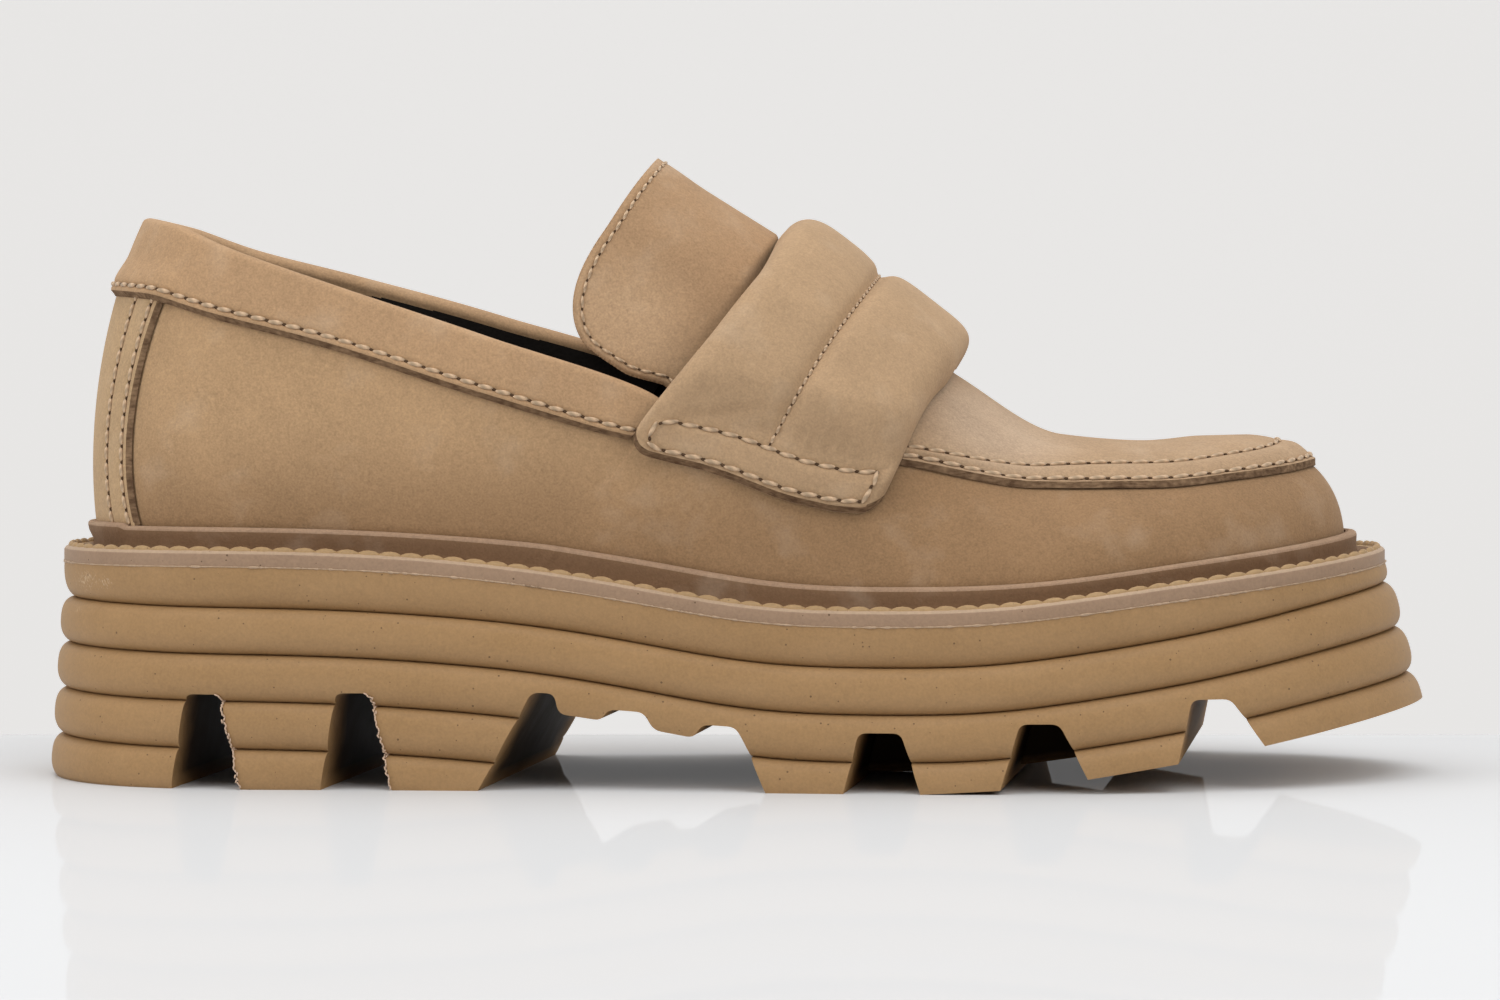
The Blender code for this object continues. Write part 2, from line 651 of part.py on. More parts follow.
def build_strap():
    """Saddle strap across the instep, one sheet from tab to tab."""
    back, front = PLACE["strap_back"], PLACE["strap_front"]
    along, _ = ridge_axes()
    width = np.linalg.norm(surface(front, 1.0) - surface(back, 1.0)) + STRAP_BACK_REACH
    across = np.array(STRAP_ACROSS)
    share = np.clip((across * width - STRAP_BACK_REACH) / (width - STRAP_BACK_REACH), 0.0, 1.0)
    behind = np.clip(STRAP_BACK_REACH - across * width, 0.0, None)
    climb = np.linspace(0.0, 1.0, STRAP_STEPS + 1)
    halves = []
    for side in (1, -1):
        flare = STRAP_TAB_FLARE * across[:, None] * (1 - climb) ** 2
        spread = back + (front - back) * (share[:, None] + flare)
        spread = spread if side == 1 else 2 - spread
        tab_z = STRAP_TAB_Z[0] + (STRAP_TAB_Z[1] - STRAP_TAB_Z[0]) * across
        foot = t_at_height(spread[:, 0], tab_z)
        t = foot[:, None] * (1 - climb) + climb
        raised = np.maximum(climb / STRAP_TAB_CLIMB, 1 - across[:, None] / STRAP_TAB_BACK)
        under = STRAP_TAB_LIFT + (STRAP_LIFT - STRAP_TAB_LIFT) * np.clip(raised, 0.0, 1.0)
        thick = strap_thickness(across[:, None], climb)
        shift = behind[:, None, None] * along
        halves.append((lifted(spread, t, under + thick) + shift, lifted(spread, t, under) + shift))
    sheets = []
    for lat, med in zip(*halves):
        ridge = (lat[:, -1:] + med[:, -1:]) / 2
        sheets.append(np.concatenate([lat[:, :-1], ridge, med[:, -2::-1]], axis=1))
    number = np.arange(sheets[0].size // 3).reshape(sheets[0].shape[:2])
    faces = sheet_faces(number)
    outer, inner = (sheet.reshape(-1, 3) for sheet in sheets)
    return shell("saddle_strap", outer, inner, faces, "nubuck")


def build_tongue():
    """Tongue: an arch along the ridge from under the vamp to its rounded end above the collar."""
    along, square = ridge_axes()
    start = surface(PLACE["throat_top"], 1.0) * np.array([1.0, 0.0, 1.0])
    turn = np.linspace(-1.0, 1.0, TONGUE_ACROSS + 1)
    angle = turn * math.pi / 2
    past = np.clip((np.abs(turn) - TONGUE_CORNER_FROM) / (1 - TONGUE_CORNER_FROM), 0.0, 1.0)
    reach = TONGUE_REACH - TONGUE_CORNER * past**TONGUE_CORNER_POWER
    share = np.linspace(0.0, 1.0, TONGUE_ALONG + 1)
    place = TONGUE_ROOT + (reach[:, None] - TONGUE_ROOT) * share
    out = np.clip(place / TONGUE_STEP, 0.0, 1.0)
    level = TONGUE_RISE - TONGUE_SINK * (1 - out * out * (3 - 2 * out))
    slope = np.hypot(TONGUE_DROP * np.sin(angle), TONGUE_HALF_WIDTH * np.cos(angle))
    sheets = []
    for deep in (0.0, TONGUE_THICK):
        y = TONGUE_HALF_WIDTH * np.sin(angle) - deep * TONGUE_DROP * np.sin(angle) / slope
        fall = TONGUE_DROP * (1 - np.cos(angle)) + deep * TONGUE_HALF_WIDTH * np.cos(angle) / slope
        points = place[..., None] * along + (level - fall[:, None])[..., None] * square + start
        points[..., 1] += (y + TONGUE_MIDDLE_Y)[:, None]
        sheets.append(points)
    number = np.arange(sheets[0].size // 3).reshape(sheets[0].shape[:2])
    faces = sheet_faces(number)
    outer, inner = (sheet.reshape(-1, 3) for sheet in sheets)
    return shell("tongue", outer, inner, faces, "nubuck")


def ring_at(out, rise):
    """Points round the shoe at a distance out from the feather line and a rise above the seat."""
    nx, ny = outward(LOOP)
    x = FOOT_X(LOOP) + nx * out
    y = FOOT_Y(LOOP) + ny * out
    return np.stack([x, y, SEAT_Z(x) + rise], -1)


def build_insole():
    """Plate that fills the foot of the upper, resting on the outsole."""
    low = ring_at(-INSOLE_INSET, SEAT_GAP)
    high = ring_at(-INSOLE_INSET, SEAT_GAP + INSOLE_THICK)
    faces = [(i, (i + 1) % COUNT, COUNT + (i + 1) % COUNT, COUNT + i) for i in range(COUNT)]
    faces += strips(0) + strips(COUNT)
    return mesh_object("insole", np.concatenate([low, high]), faces, "lining")


def build_welt():
    """Welt round the whole shoe: flat strip, bead and upright lip that follows the upper."""
    seat = SEAT_Z(FOOT_X(LOOP))
    lip_foot = t_at_height(LOOP, seat + SEAT_GAP + LIP_CLEAR)
    lip_top = t_at_height(LOOP, seat + LIP_HEIGHT)
    lip_low = t_at_height(LOOP, seat + STRIP_HEIGHT + BEAD_HEIGHT)
    nx, ny = outward(LOOP)
    flat = np.stack([nx, ny, np.zeros(COUNT)], -1)
    margin = MARGIN(LOOP)

    def against(t, out):
        return surface(LOOP, t) + flat * out

    rings = [
        against(lip_foot, GAP),
        ring_at(margin, SEAT_GAP),
        ring_at(margin, STRIP_HEIGHT),
        ring_at(margin - BEAD_SET_BACK, STRIP_HEIGHT + STRIP_CROWN),
        ring_at(margin - BEAD_SET_BACK, STRIP_HEIGHT + BEAD_HEIGHT),
        against(lip_low, GAP + LIP_THICK),
        against(lip_top, GAP + LIP_THICK),
        against(lip_top, GAP),
        against(lip_low, GAP),
    ]
    return sweep("welt", np.stack(rings, axis=1), True, "welt")


def rib_rows():
    """Depth below the seat and outward share of the bulge for each row of the sole's side."""
    rows = [(0.0, 1.0)]
    rows.extend((RIB_EDGES[0] * place, out) for place, out in RIB_PROFILE[1:])
    for top, foot in zip(RIB_EDGES, RIB_EDGES[1:]):
        rows.append((top, 0.0))
        rows.extend((top + (foot - top) * place, out) for place, out in RIB_PROFILE)
    rows.append((RIB_EDGES[-1], 0.0))
    rows.append((SOLE_DEPTH, 0.0))
    return rows


def spring(x):
    """Rise of the tread towards the toe."""
    share = max(x - SPRING_START, 0.0) / SPRING_REACH
    return SPRING_RISE * share**SPRING_POWER


def tread_outline():
    """Underside of the sole along the line near its outer edge, heel to toe."""
    points = [(-TREAD_REACH, 0.0)]
    for notch in HEEL_NOTCHES:
        points += notch_points(notch)
    points += [(row.x, row.z) for row in ARCH]
    for notch in BALL_NOTCHES:
        points += notch_points(notch)
    points += [(x, spring(x)) for x in SPRING_POINTS]
    points.append((TREAD_REACH, spring(TREAD_REACH)))
    return points


def notch_points(notch):
    return [
        (notch.back_foot, spring(notch.back_foot)),
        (notch.back_top, notch.roof),
        (notch.front_top, notch.roof),
        (notch.front_foot, spring(notch.front_foot)),
    ]


def build_tread_cutter():
    """The space below the tread, pushed across the shoe along the slant of its notches."""
    outline = tread_outline()
    outline += [(TREAD_REACH, -TREAD_BELOW), (-TREAD_REACH, -TREAD_BELOW)]
    count = len(outline)
    points = []
    for y in (-TREAD_HALF_WIDTH, TREAD_HALF_WIDTH):
        shift = (y - TREAD_EDGE_Y) * math.tan(TREAD_SLANT)
        points += [(x + shift, y, z) for x, z in outline]
    faces = [tuple(range(count)), tuple(reversed(range(count, 2 * count)))]
    faces += [(i, (i + 1) % count, count + (i + 1) % count, count + i) for i in range(count)]
    cutter = mesh_object("tread_cutter", points, faces, "rubber")
    cutter.hide_render = True
    cutter.display_type = "WIRE"
    return cutter


def build_outsole():
    """Ribbed block under the seat, cut to its tread."""
    nx, ny = outward(LOOP)
    margin = MARGIN(LOOP)
    seat = SEAT_Z(FOOT_X(LOOP) + nx * margin)
    rows = rib_rows()
    points = []
    for depth, bulge in rows:
        out = margin + FLARE(LOOP) * depth + RIB_BULGE * (bulge - 1)
        lift = RIB_LIFT(LOOP) * min(depth / RIB_EDGES[0], 1.0)
        ring = np.stack([FOOT_X(LOOP) + nx * out, FOOT_Y(LOOP) + ny * out, seat - depth + lift], -1)
        points.append(ring)
    faces = []
    for row in range(len(rows) - 1):
        for i in range(COUNT):
            k = (i + 1) % COUNT
            faces.append((row * COUNT + i, row * COUNT + k, (row + 1) * COUNT + k, (row + 1) * COUNT + i))
    faces += strips(0) + strips((len(rows) - 1) * COUNT)
    sole = mesh_object("outsole", np.concatenate(points), faces, "rubber")
    cut = sole.modifiers.new("tread", "BOOLEAN")
    cut.operation = "DIFFERENCE"
    cut.solver = "EXACT"
    cut.object = build_tread_cutter()
    return sole


def main():
    for old in list(bpy.data.objects):
        bpy.data.objects.remove(old, do_unlink=True)
    build_outsole()
    build_welt()
    build_upper()
    build_apron()
    build_collar_band()
    build_heel_strip()
    build_strap()
    build_tongue()
    build_insole()


main()
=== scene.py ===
"""Looks of a right-foot slip-on shoe in tan nubuck on a thick ribbed rubber sole.

The file is laid out as an add-on: one operator makes each piece, at a fine resolution and from the same
tables as the solids, and lays its leather, rubber, thread or lining on it. Lengths are in millimetres
until a mesh is made; the shoe stands at z = 0 with its toe along +X and its inner side along +Y.
"""

import math
from collections import namedtuple

import bmesh
import bpy
import numpy as np
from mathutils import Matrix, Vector
from mathutils.kdtree import KDTree


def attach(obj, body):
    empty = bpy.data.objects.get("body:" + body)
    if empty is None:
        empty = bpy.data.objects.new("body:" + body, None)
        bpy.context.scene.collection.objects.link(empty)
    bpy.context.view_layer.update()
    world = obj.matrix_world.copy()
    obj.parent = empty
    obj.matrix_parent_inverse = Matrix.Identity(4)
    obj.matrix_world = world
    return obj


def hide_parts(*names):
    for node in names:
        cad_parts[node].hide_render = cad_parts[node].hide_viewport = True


bl_info = {
    "name": "Slip-on shoe",
    "version": (1, 0, 0),
    "blender": (4, 5, 0),
    "location": "View3D > Sidebar > Shoe",
    "description": "Dresses the solids of a slip-on shoe in nubuck, rubber, thread and lining",
    "category": "Object",
}

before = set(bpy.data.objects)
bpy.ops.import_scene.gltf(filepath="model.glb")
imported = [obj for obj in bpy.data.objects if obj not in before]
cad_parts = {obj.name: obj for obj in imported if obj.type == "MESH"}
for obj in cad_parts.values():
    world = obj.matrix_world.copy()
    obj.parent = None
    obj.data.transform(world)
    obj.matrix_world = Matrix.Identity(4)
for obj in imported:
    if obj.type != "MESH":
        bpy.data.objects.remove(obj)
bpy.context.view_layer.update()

MM = 0.001

# Sizes that drive the last.
LAST_LENGTH = 251.0
BALL_WIDTH = 86.0
HEEL_HEIGHT = 68.0
INSTEP_HEIGHT = 61.3
SEAT_HEIGHT = 43.2
HEEL_BACK = -127.8
RIDGE_PITCH = math.radians(37.0)

# Leathers and the gaps between them.
WALL = 2.0
GAP = 0.35
SEAT_GAP = 0.35
BAND = 1.25
BAND_TURN_IN = 9.0
INSOLE_THICK = 4.0
INSOLE_INSET = 2.6

# Welt.
STRIP_HEIGHT = 3.2
BEAD_SET_BACK = 1.1
LIP_HEIGHT = 7.6
LIP_THICK = 2.2

# Outsole.
RIB_EDGES = (6.9, 16.0, 25.2, 34.5, 43.8)
SOLE_DEPTH = 50.0
TREAD_SLANT = math.radians(8.0)
TREAD_EDGE_Y = -45.0
SPRING_START = 40.0
SPRING_REACH = 92.8
SPRING_RISE = 15.2
SPRING_POWER = 1.4
TREAD_BELOW = 30.0
TREAD_REACH = 170.0
TREAD_HALF_WIDTH = 90.0

# Saddle strap.
STRAP_TAB_FLARE = 0.065
STRAP_LIFT = 2.3
STRAP_TAB_LIFT = 0.5
STRAP_TAB_CLIMB = 0.09
STRAP_TAB_BACK = 0.2
STRAP_TAB_Z = (65.2, 54.6)

# Tongue.
TONGUE_HALF_WIDTH = 28.0
TONGUE_DROP = 38.0
TONGUE_MIDDLE_Y = -0.9
TONGUE_REACH = 33.3
TONGUE_ROOT = -12.0
TONGUE_THICK = 2.4
TONGUE_RISE = 0.3
TONGUE_SINK = 3.4

# Steps of the numerical work on the surface.
NEAR = 1e-4
T_ENDS = (0.002, 0.998)
HALVINGS = 30

# Steps of the grids of the pieces, in millimetres, and numbers of rows and samples.
GRID = {"upper": 1.8, "apron": 0.9, "band": 1.2, "insole": 3.0, "welt": 1.1, "bead": 1.5}
GRID.update(flash=0.45, outsole=1.7)
UPPER_ROWS = 45
APRON_STEPS = 22
BAND_STEPS = 8
INSOLE_ROWS = 31
SIDE_SAMPLES = 30
RUN_SAMPLES = 161
ROW_SAMPLES = 41
PATH_STEPS = 200

# Angles in degrees past which an edge of a piece is drawn sharp.
SHARP = {"panel": 50, "strap": 55, "tongue": 60, "welt": 45, "bar": 40, "outsole": 38}


def table(fields, *rows):
    """Rows of values that are called by name."""
    kind = namedtuple("TableRow", fields)
    return tuple(kind(*row) for row in rows)


# Stations of the last, from heel to toe: place along it and half widths of the feather line as shares of
# half the ball width; handles of the profile at its foot (out, up) and at its top (out, down); height of
# the line where bands and apron are cut, as a share of HEEL_HEIGHT; the sole's flare per millimetre of
# depth, the lift of its ribs and the margin of the welt.
STATION = "station along lat med out_low up_low out_top drop_top line flare rib_lift margin"
STATIONS = table(
    STATION,
    ("heel_back", 0.0, 0.0, 0.0, 4.0, 15.0, 11.0, 23.0, 0.782, 0.07, 0.0, 9.2),
    ("heel_corner", 0.027, 0.445, 0.445, 3.6, 15.0, 9.0, 23.0, 0.771, 0.07, 0.0, 9.0),
    ("heel_round", 0.082, 0.674, 0.674, 3.2, 15.0, 7.0, 22.0, 0.715, 0.06, 0.0, 8.0),
    ("heel_side", 0.168, 0.758, 0.748, 2.6, 15.0, 5.0, 20.0, 0.632, 0.05, 0.0, 7.2),
    ("quarter", 0.254, 0.791, 0.752, 1.9, 15.0, 3.6, 15.0, 0.5, 0.04, 0.0, 7.0),
    ("collar_end", 0.3367, 0.816, 0.751, 1.1, 13.4, 2.1, 10.3, 0.368, 0.04, 0.0, 7.0),
    ("throat_side", 0.3446, 0.818, 0.752, 1.05, 13.0, 2.0, 10.0, 0.364, 0.04, 0.0, 7.0),
    ("throat_corner", 0.3496, 0.82, 0.753, 2.1, 25.9, 12.1, 10.5, 0.362, 0.04, 0.0, 7.0),
    ("throat_shoulder", 0.3541, 0.821, 0.753, 2.55, 31.45, 19.8, 6.8, 0.36, 0.04, 0.0, 7.0),
    ("throat_top", 0.3576, 0.822, 0.754, 3.0, 37.0, 30.0, 0.5, 0.358, 0.04, 0.0, 7.0),
    ("strap_back", 0.3813, 0.835, 0.757, 3.0, 36.0, 30.0, 0.0, 0.35, 0.04, 0.0, 7.0),
    ("mid_strap", 0.4486, 0.879, 0.786, 3.0, 33.0, 30.0, 0.0, 0.326, 0.05, 0.0, 7.0),
    ("strap_front", 0.5466, 0.94, 0.858, 3.0, 27.0, 29.0, 0.0, 0.2965, 0.05, 0.0, 7.0),
    ("ball", 0.6697, 1.0, 0.958, 3.0, 20.0, 28.0, 0.0, 0.2245, 0.06, 0.0, 7.2),
    ("joint", 0.7733, 0.972, 1.0, 3.0, 18.0, 28.0, 0.0, 0.224, 0.08, 0.3, 7.4),
    ("toe_side", 0.8733, 0.814, 0.937, 3.0, 16.0, 24.0, 0.0, 0.247, 0.12, 0.8, 7.8),
    ("toe_corner", 0.9486, 0.523, 0.721, 2.6, 14.5, 20.0, 0.0, 0.266, 0.18, 1.4, 8.2),
    ("toe_round", 0.989, 0.186, 0.453, 2.2, 13.8, 17.0, 0.0, 0.277, 0.23, 1.9, 8.5),
    ("toe_tip", 1.0, -0.14, 0.14, 2.0, 13.5, 15.0, 0.0, 0.279, 0.26, 2.0, 8.5),
)

# Collar edge from the first station to throat_shoulder: place along the last, half widths as above,
# heights as shares of HEEL_HEIGHT.
COLLAR = table(
    "along lat med rise_lat rise_med",
    (0.0327, 0.0, 0.0, 1.0, 1.0),
    (0.059, 0.35, 0.35, 0.976, 0.976),
    (0.106, 0.558, 0.558, 0.904, 0.914),
    (0.1917, 0.681, 0.672, 0.794, 0.832),
    (0.3108, 0.757, 0.73, 0.647, 0.71),
    (0.445, 0.784, 0.727, 0.467, 0.533),
    (0.449, 0.788, 0.731, 0.451, 0.511),
    (0.5223, 0.497, 0.483, 0.8098, 0.8098),
    (0.541, 0.28, 0.276, 0.8793, 0.8793),
)

# Spine of the vamp from throat_top to the last station: place along the last, swing to the inner
# side, height as a share of INSTEP_HEIGHT.
SPINE = table(
    "along swing rise",
    (0.549, 0.0, 1.0),
    (0.565, 0.0, 0.951),
    (0.6183, 0.0, 0.7863),
    (0.6857, 0.0, 0.581),
    (0.7693, 0.0, 0.3915),
    (0.837, 0.02, 0.37),
    (0.8813, 0.06, 0.385),
    (0.9044, 0.09, 0.3872),
    (0.9163, 0.12, 0.388),
    (0.9207, 0.13, 0.3882),
)

# Seat line: places along the shoe and height of the top of the outsole there.
SEAT = (
    [-145.0, -85.0, -54.0, -22.0, 3.0, 27.0, 50.0, 80.0, 110.0, 145.0],
    [43.2, 43.2, 41.4, 37.0, 33.1, 32.2, 32.9, 36.4, 40.0, 44.6],
)

# Tread notches: feet and tops of the two walls, and the height of the roof between them.
NOTCH = "back_foot back_top front_top front_foot roof"
HEEL_NOTCHES = table(
    NOTCH,
    (-112.3, -109.6, -102.4, -98.1, 18.5),
    (-82.3, -79.5, -72.6, -68.2, 18.9),
)
BALL_NOTCHES = table(
    NOTCH,
    (20.9, 23.8, 32.1, 36.0, 11.8),
    (51.5, 55.2, 62.8, 68.4, 13.6),
    (85.7, 88.2, 95.6, 102.3, 18.0),
)

# Underside of the arch, from the breast of the heel to the first lug of the forefoot: places and heights.
ARCH = (
    [-51.2, -40.8, -36.3, -35.4, -27.0, -25.5, -18.5, -16.5, -8.6, -7.0, -0.5, 1.0, 5.6],
    [0.0, 19.2, 19.0, 15.0, 13.8, 16.0, 15.5, 12.0, 10.6, 13.2, 12.8, 10.5, 0.0],
)
SPRING_POINTS = (112.0, 122.0, 132.0, 142.0, TREAD_REACH)


class Curve:
    """A cubic through knots: smooth in curvature, or steady, which never overshoots its values."""

    def __init__(self, knots, values, period=None, steady=False):
        self.period = period
        self.knots = np.asarray(knots, float)
        self.values = np.asarray(values, float)
        if period:
            self.knots = np.append(self.knots, self.knots[0] + period)
            self.values = np.append(self.values, self.values[0])
        self.steps = np.diff(self.knots)
        self.rates = np.diff(self.values) / self.steps
        self.slopes = self.steady_slopes() if steady else self.smooth_slopes()

    def around(self):
        """Step and rate before and after each knot, with the ends joined or repeated."""
        first, last = (-1, 0) if self.period else (0, -1)
        sides = []
        for values in (self.steps, self.rates):
            sides += [np.append(values[first], values), np.append(values, values[last])]
        return sides

    def steady_slopes(self):
        step_in, step_out, rate_in, rate_out = self.around()
        same_way = rate_in * rate_out > 0
        weight_in = 2 * step_out + step_in
        weight_out = step_out + 2 * step_in
        safe_in = np.where(same_way, rate_in, 1.0)
        safe_out = np.where(same_way, rate_out, 1.0)
        mean = (weight_in + weight_out) / (weight_in / safe_in + weight_out / safe_out)
        return np.where(same_way, mean, 0.0)

    def smooth_slopes(self):
        count = len(self.knots)
        step_in, step_out, rate_in, rate_out = self.around()
        matrix = np.zeros((count, count))
        right = 3 * (rate_in / step_in + rate_out / step_out)
        for i in range(count):
            before = (i - 1) % (count - 1) if self.period else max(i - 1, 0)
            after = (i + 1) % (count - 1) if self.period else min(i + 1, count - 1)
            matrix[i, before] += 1 / step_in[i]
            matrix[i, i] += 2 / step_in[i] + 2 / step_out[i]
            matrix[i, after] += 1 / step_out[i]
        return np.linalg.solve(matrix, right)

    def __call__(self, place):
        place = np.asarray(place, float)
        if self.period:
            place = self.knots[0] + np.mod(place - self.knots[0], self.period)
        i = np.clip(np.searchsorted(self.knots, place, side="right") - 1, 0, len(self.steps) - 1)
        step = self.steps[i]
        t = (place - self.knots[i]) / step
        rise = t * t * (3 - 2 * t)
        start = t * (1 - t) ** 2 * step * self.slopes[i]
        end = t * t * (t - 1) * step * self.slopes[i + 1]
        return self.values[i] * (1 - rise) + self.values[i + 1] * rise + start + end


def both_sides(lat, med):
    """One closed round of a column: heel to toe on the outer side, then back on the inner side."""
    return np.concatenate([lat, np.asarray(med)[-2:0:-1]])


def station_knots():
    """Place of each station on a side, from 0 at the heel to 1 at the toe, by length of the outline."""
    along = np.array([row.along for row in STATIONS]) * LAST_LENGTH
    lengths = []
    for side in ("lat", "med"):
        out = np.array([getattr(row, side) for row in STATIONS]) * BALL_WIDTH / 2
        lengths.append(np.hypot(np.diff(along), np.diff(out)))
    steps = np.mean(lengths, axis=0)
    return np.concatenate([[0.0], np.cumsum(steps)]) / steps.sum()


KNOTS = station_knots()
PLACE = {row.station: knot for row, knot in zip(STATIONS, KNOTS)}
ROUND = both_sides(KNOTS, 2 - KNOTS)


def column(lat, med=None, steady=True):
    """A closed curve round the shoe through a column's values on its two sides."""
    return Curve(ROUND, both_sides(lat, lat if med is None else med), 2.0, steady)


def feather_curves():
    half = BALL_WIDTH / 2
    x = [HEEL_BACK + row.along * LAST_LENGTH for row in STATIONS]
    lat = [-row.lat * half for row in STATIONS]
    med = [row.med * half for row in STATIONS]
    return column(x, steady=False), column(lat, med, steady=False)


def top_curves():
    """Collar edge on the quarters, spine on the vamp, as one closed round."""
    half = BALL_WIDTH / 2
    x = [HEEL_BACK + row.along * LAST_LENGTH for row in COLLAR + SPINE]
    spine_y = [row.swing * half for row in SPINE]
    spine_z = [SEAT_HEIGHT + row.rise * INSTEP_HEIGHT for row in SPINE]
    lat_y = [-row.lat * half for row in COLLAR] + spine_y
    med_y = [row.med * half for row in COLLAR] + spine_y
    lat_z = [SEAT_HEIGHT + row.rise_lat * HEEL_HEIGHT for row in COLLAR] + spine_z
    med_z = [SEAT_HEIGHT + row.rise_med * HEEL_HEIGHT for row in COLLAR] + spine_z
    return column(x), column(lat_y, med_y), column(lat_z, med_z)


FOOT_X, FOOT_Y = feather_curves()
TOP_X, TOP_Y, TOP_Z = top_curves()
SEAT_Z = Curve(*SEAT)
OUT_LOW, UP_LOW, OUT_TOP, DROP_TOP, LINE, FLARE, RIB_LIFT, MARGIN = (
    column([getattr(row, name) for row in STATIONS]) for name in STATIONS[0]._fields[4:]
)


def unit(vectors):
    return vectors / np.linalg.norm(vectors, axis=-1, keepdims=True)


def points_at(steps, run, points):
    """Points at given lengths along a path, whose points have their own running lengths."""
    return np.stack([np.interp(steps, run, points[:, axis]) for axis in range(3)], -1)


def outward(q):
    """Unit normal of the feather line in plan, away from the foot."""
    dx = FOOT_X(q + NEAR) - FOOT_X(q - NEAR)
    dy = FOOT_Y(q + NEAR) - FOOT_Y(q - NEAR)
    length = np.hypot(dx, dy)
    return dy / length, -dx / length


def profile(q):
    """The four control points of the upper's profile at each place q, as an array (4, ..., 3)."""
    nx, ny = outward(q)
    foot = np.stack([FOOT_X(q), FOOT_Y(q), SEAT_Z(FOOT_X(q)) + SEAT_GAP], -1)
    top = np.stack([TOP_X(q), TOP_Y(q), TOP_Z(q)], -1)
    span = top - foot
    lean = (span[..., 1] * nx - span[..., 0] * ny) / span[..., 2]
    up, drop = UP_LOW(q), DROP_TOP(q)
    low = foot + np.stack([nx * OUT_LOW(q) - ny * lean * up, ny * OUT_LOW(q) + nx * lean * up, up], -1)
    high = top + np.stack(
        [nx * OUT_TOP(q) + ny * lean * drop, ny * OUT_TOP(q) - nx * lean * drop, -drop], -1
    )
    return np.stack([foot, low, high, top])


def surface(q, t):
    """Outer surface of the upper at place q round the foot and height t from feather line to top."""
    foot, low, high, top = profile(q)
    t = np.asarray(t)[..., None]
    s = 1 - t
    return foot * s**3 + low * 3 * s * s * t + high * 3 * s * t * t + top * t**3


def normal(q, t):
    """Unit normal of that surface, away from the foot."""
    t = np.clip(t, *T_ENDS)
    along = surface(q + NEAR, t) - surface(q - NEAR, t)
    up = surface(q, t + NEAR) - surface(q, t - NEAR)
    return unit(np.cross(along, up))


def lifted(q, t, lift):
    """A point of the upper's surface moved along its normal."""
    return surface(q, t) + normal(q, t) * np.asarray(lift)[..., None]


def t_at_height(q, z):
    """Height t at which each profile reaches z."""
    low = np.zeros(np.shape(q))
    high = np.ones(np.shape(q))
    for _ in range(HALVINGS):
        middle = (low + high) / 2
        above = surface(q, middle)[..., 2] > z
        high = np.where(above, middle, high)
        low = np.where(above, low, middle)
    return (low + high) / 2


def t_of_line(q):
    return t_at_height(q, SEAT_HEIGHT + LINE(q) * HEEL_HEIGHT)


def even(count):
    """Even shares from 0 to 1."""
    return np.linspace(0.0, 1.0, count)


def smooth(value):
    """Soft step from 0 to 1."""
    value = np.clip(value, 0.0, 1.0)
    return value * value * (3 - 2 * value)


def dip(place, middle, width):
    """Soft bell of height 1."""
    return np.exp(-(((place - middle) / width) ** 2))


def lengths(points):
    """Running length along each row of points."""
    steps = np.linalg.norm(np.diff(points, axis=-2), axis=-1)
    return np.concatenate([np.zeros(steps.shape[:-1] + (1,)), np.cumsum(steps, axis=-1)], axis=-1)


def side_lines(step):
    """Places on one side, heel to toe, so close that no line is further than step from the next."""
    places = []
    for start, end in zip(KNOTS, KNOTS[1:]):
        q = np.linspace(start, end, SIDE_SAMPLES)
        reach = max(lengths(surface(q, np.full(SIDE_SAMPLES, t)))[-1] for t in (0.0, 0.5, 1.0))
        count = max(1, math.ceil(reach / step))
        places.extend(start + (end - start) * np.arange(count) / count)
    return np.array(places + [1.0])


class Ring:
    """Grid lines of a piece round the shoe, with the numbering that joins its two sides along the spine."""

    def __init__(self, piece):
        self.side = side_lines(GRID[piece])
        self.loop = both_sides(self.side, 2 - self.side)
        self.count = len(self.loop)

    def index(self, station):
        return int(np.argmin(np.abs(self.side - PLACE[station])))

    def partner(self, line):
        return (self.count - line) % self.count

    def span(self, station):
        """Lines from a station on the outer side, round the toe, to the same station on the inner side."""
        start = self.index(station)
        return np.arange(start, self.partner(start) + 1)

    def heel_span(self, station):
        """Lines from a station on the inner side, round the heel, to the same station on the outer side."""
        reach = self.index(station)
        return np.arange(-reach, reach + 1) % self.count

    def numbers(self, lines, rows):
        """Point numbers of a sheet, and the pairs of lines that share their last point."""
        number = np.arange(len(lines) * rows).reshape(len(lines), rows)
        spot = {int(line): k for k, line in enumerate(lines)}
        throat, toe = self.index("throat_top"), len(self.side) - 1
        pairs = []
        for line, k in spot.items():
            across = spot.get(self.partner(line))
            if throat <= line < toe and across is not None:
                number[across, -1] = number[k, -1]
                pairs.append((k, across))
        return number, pairs


def along_rows(q, rows):
    """Places repeated for every row of a sheet."""
    return q[:, None] + np.zeros(rows)


def row_distances(q, t_grid):
    """Distance of every row from the first one, along the surface."""
    return lengths(surface(along_rows(q, t_grid.shape[1]), t_grid))


def distance_rows(q, start, end, near, steps):
    """Heights t of rows at the given distances above a start height, then in even steps to the end."""
    share = even(RUN_SAMPLES)
    t = start[:, None] * (1 - share) + end[:, None] * share
    last = near[-1]
    rows = []
    for heights, run in zip(t, row_distances(q, t)):
        wanted = np.concatenate([near, last + (run[-1] - last) * np.arange(1, steps + 1) / steps])
        rows.append(np.interp(wanted, run, heights))
    return np.array(rows)


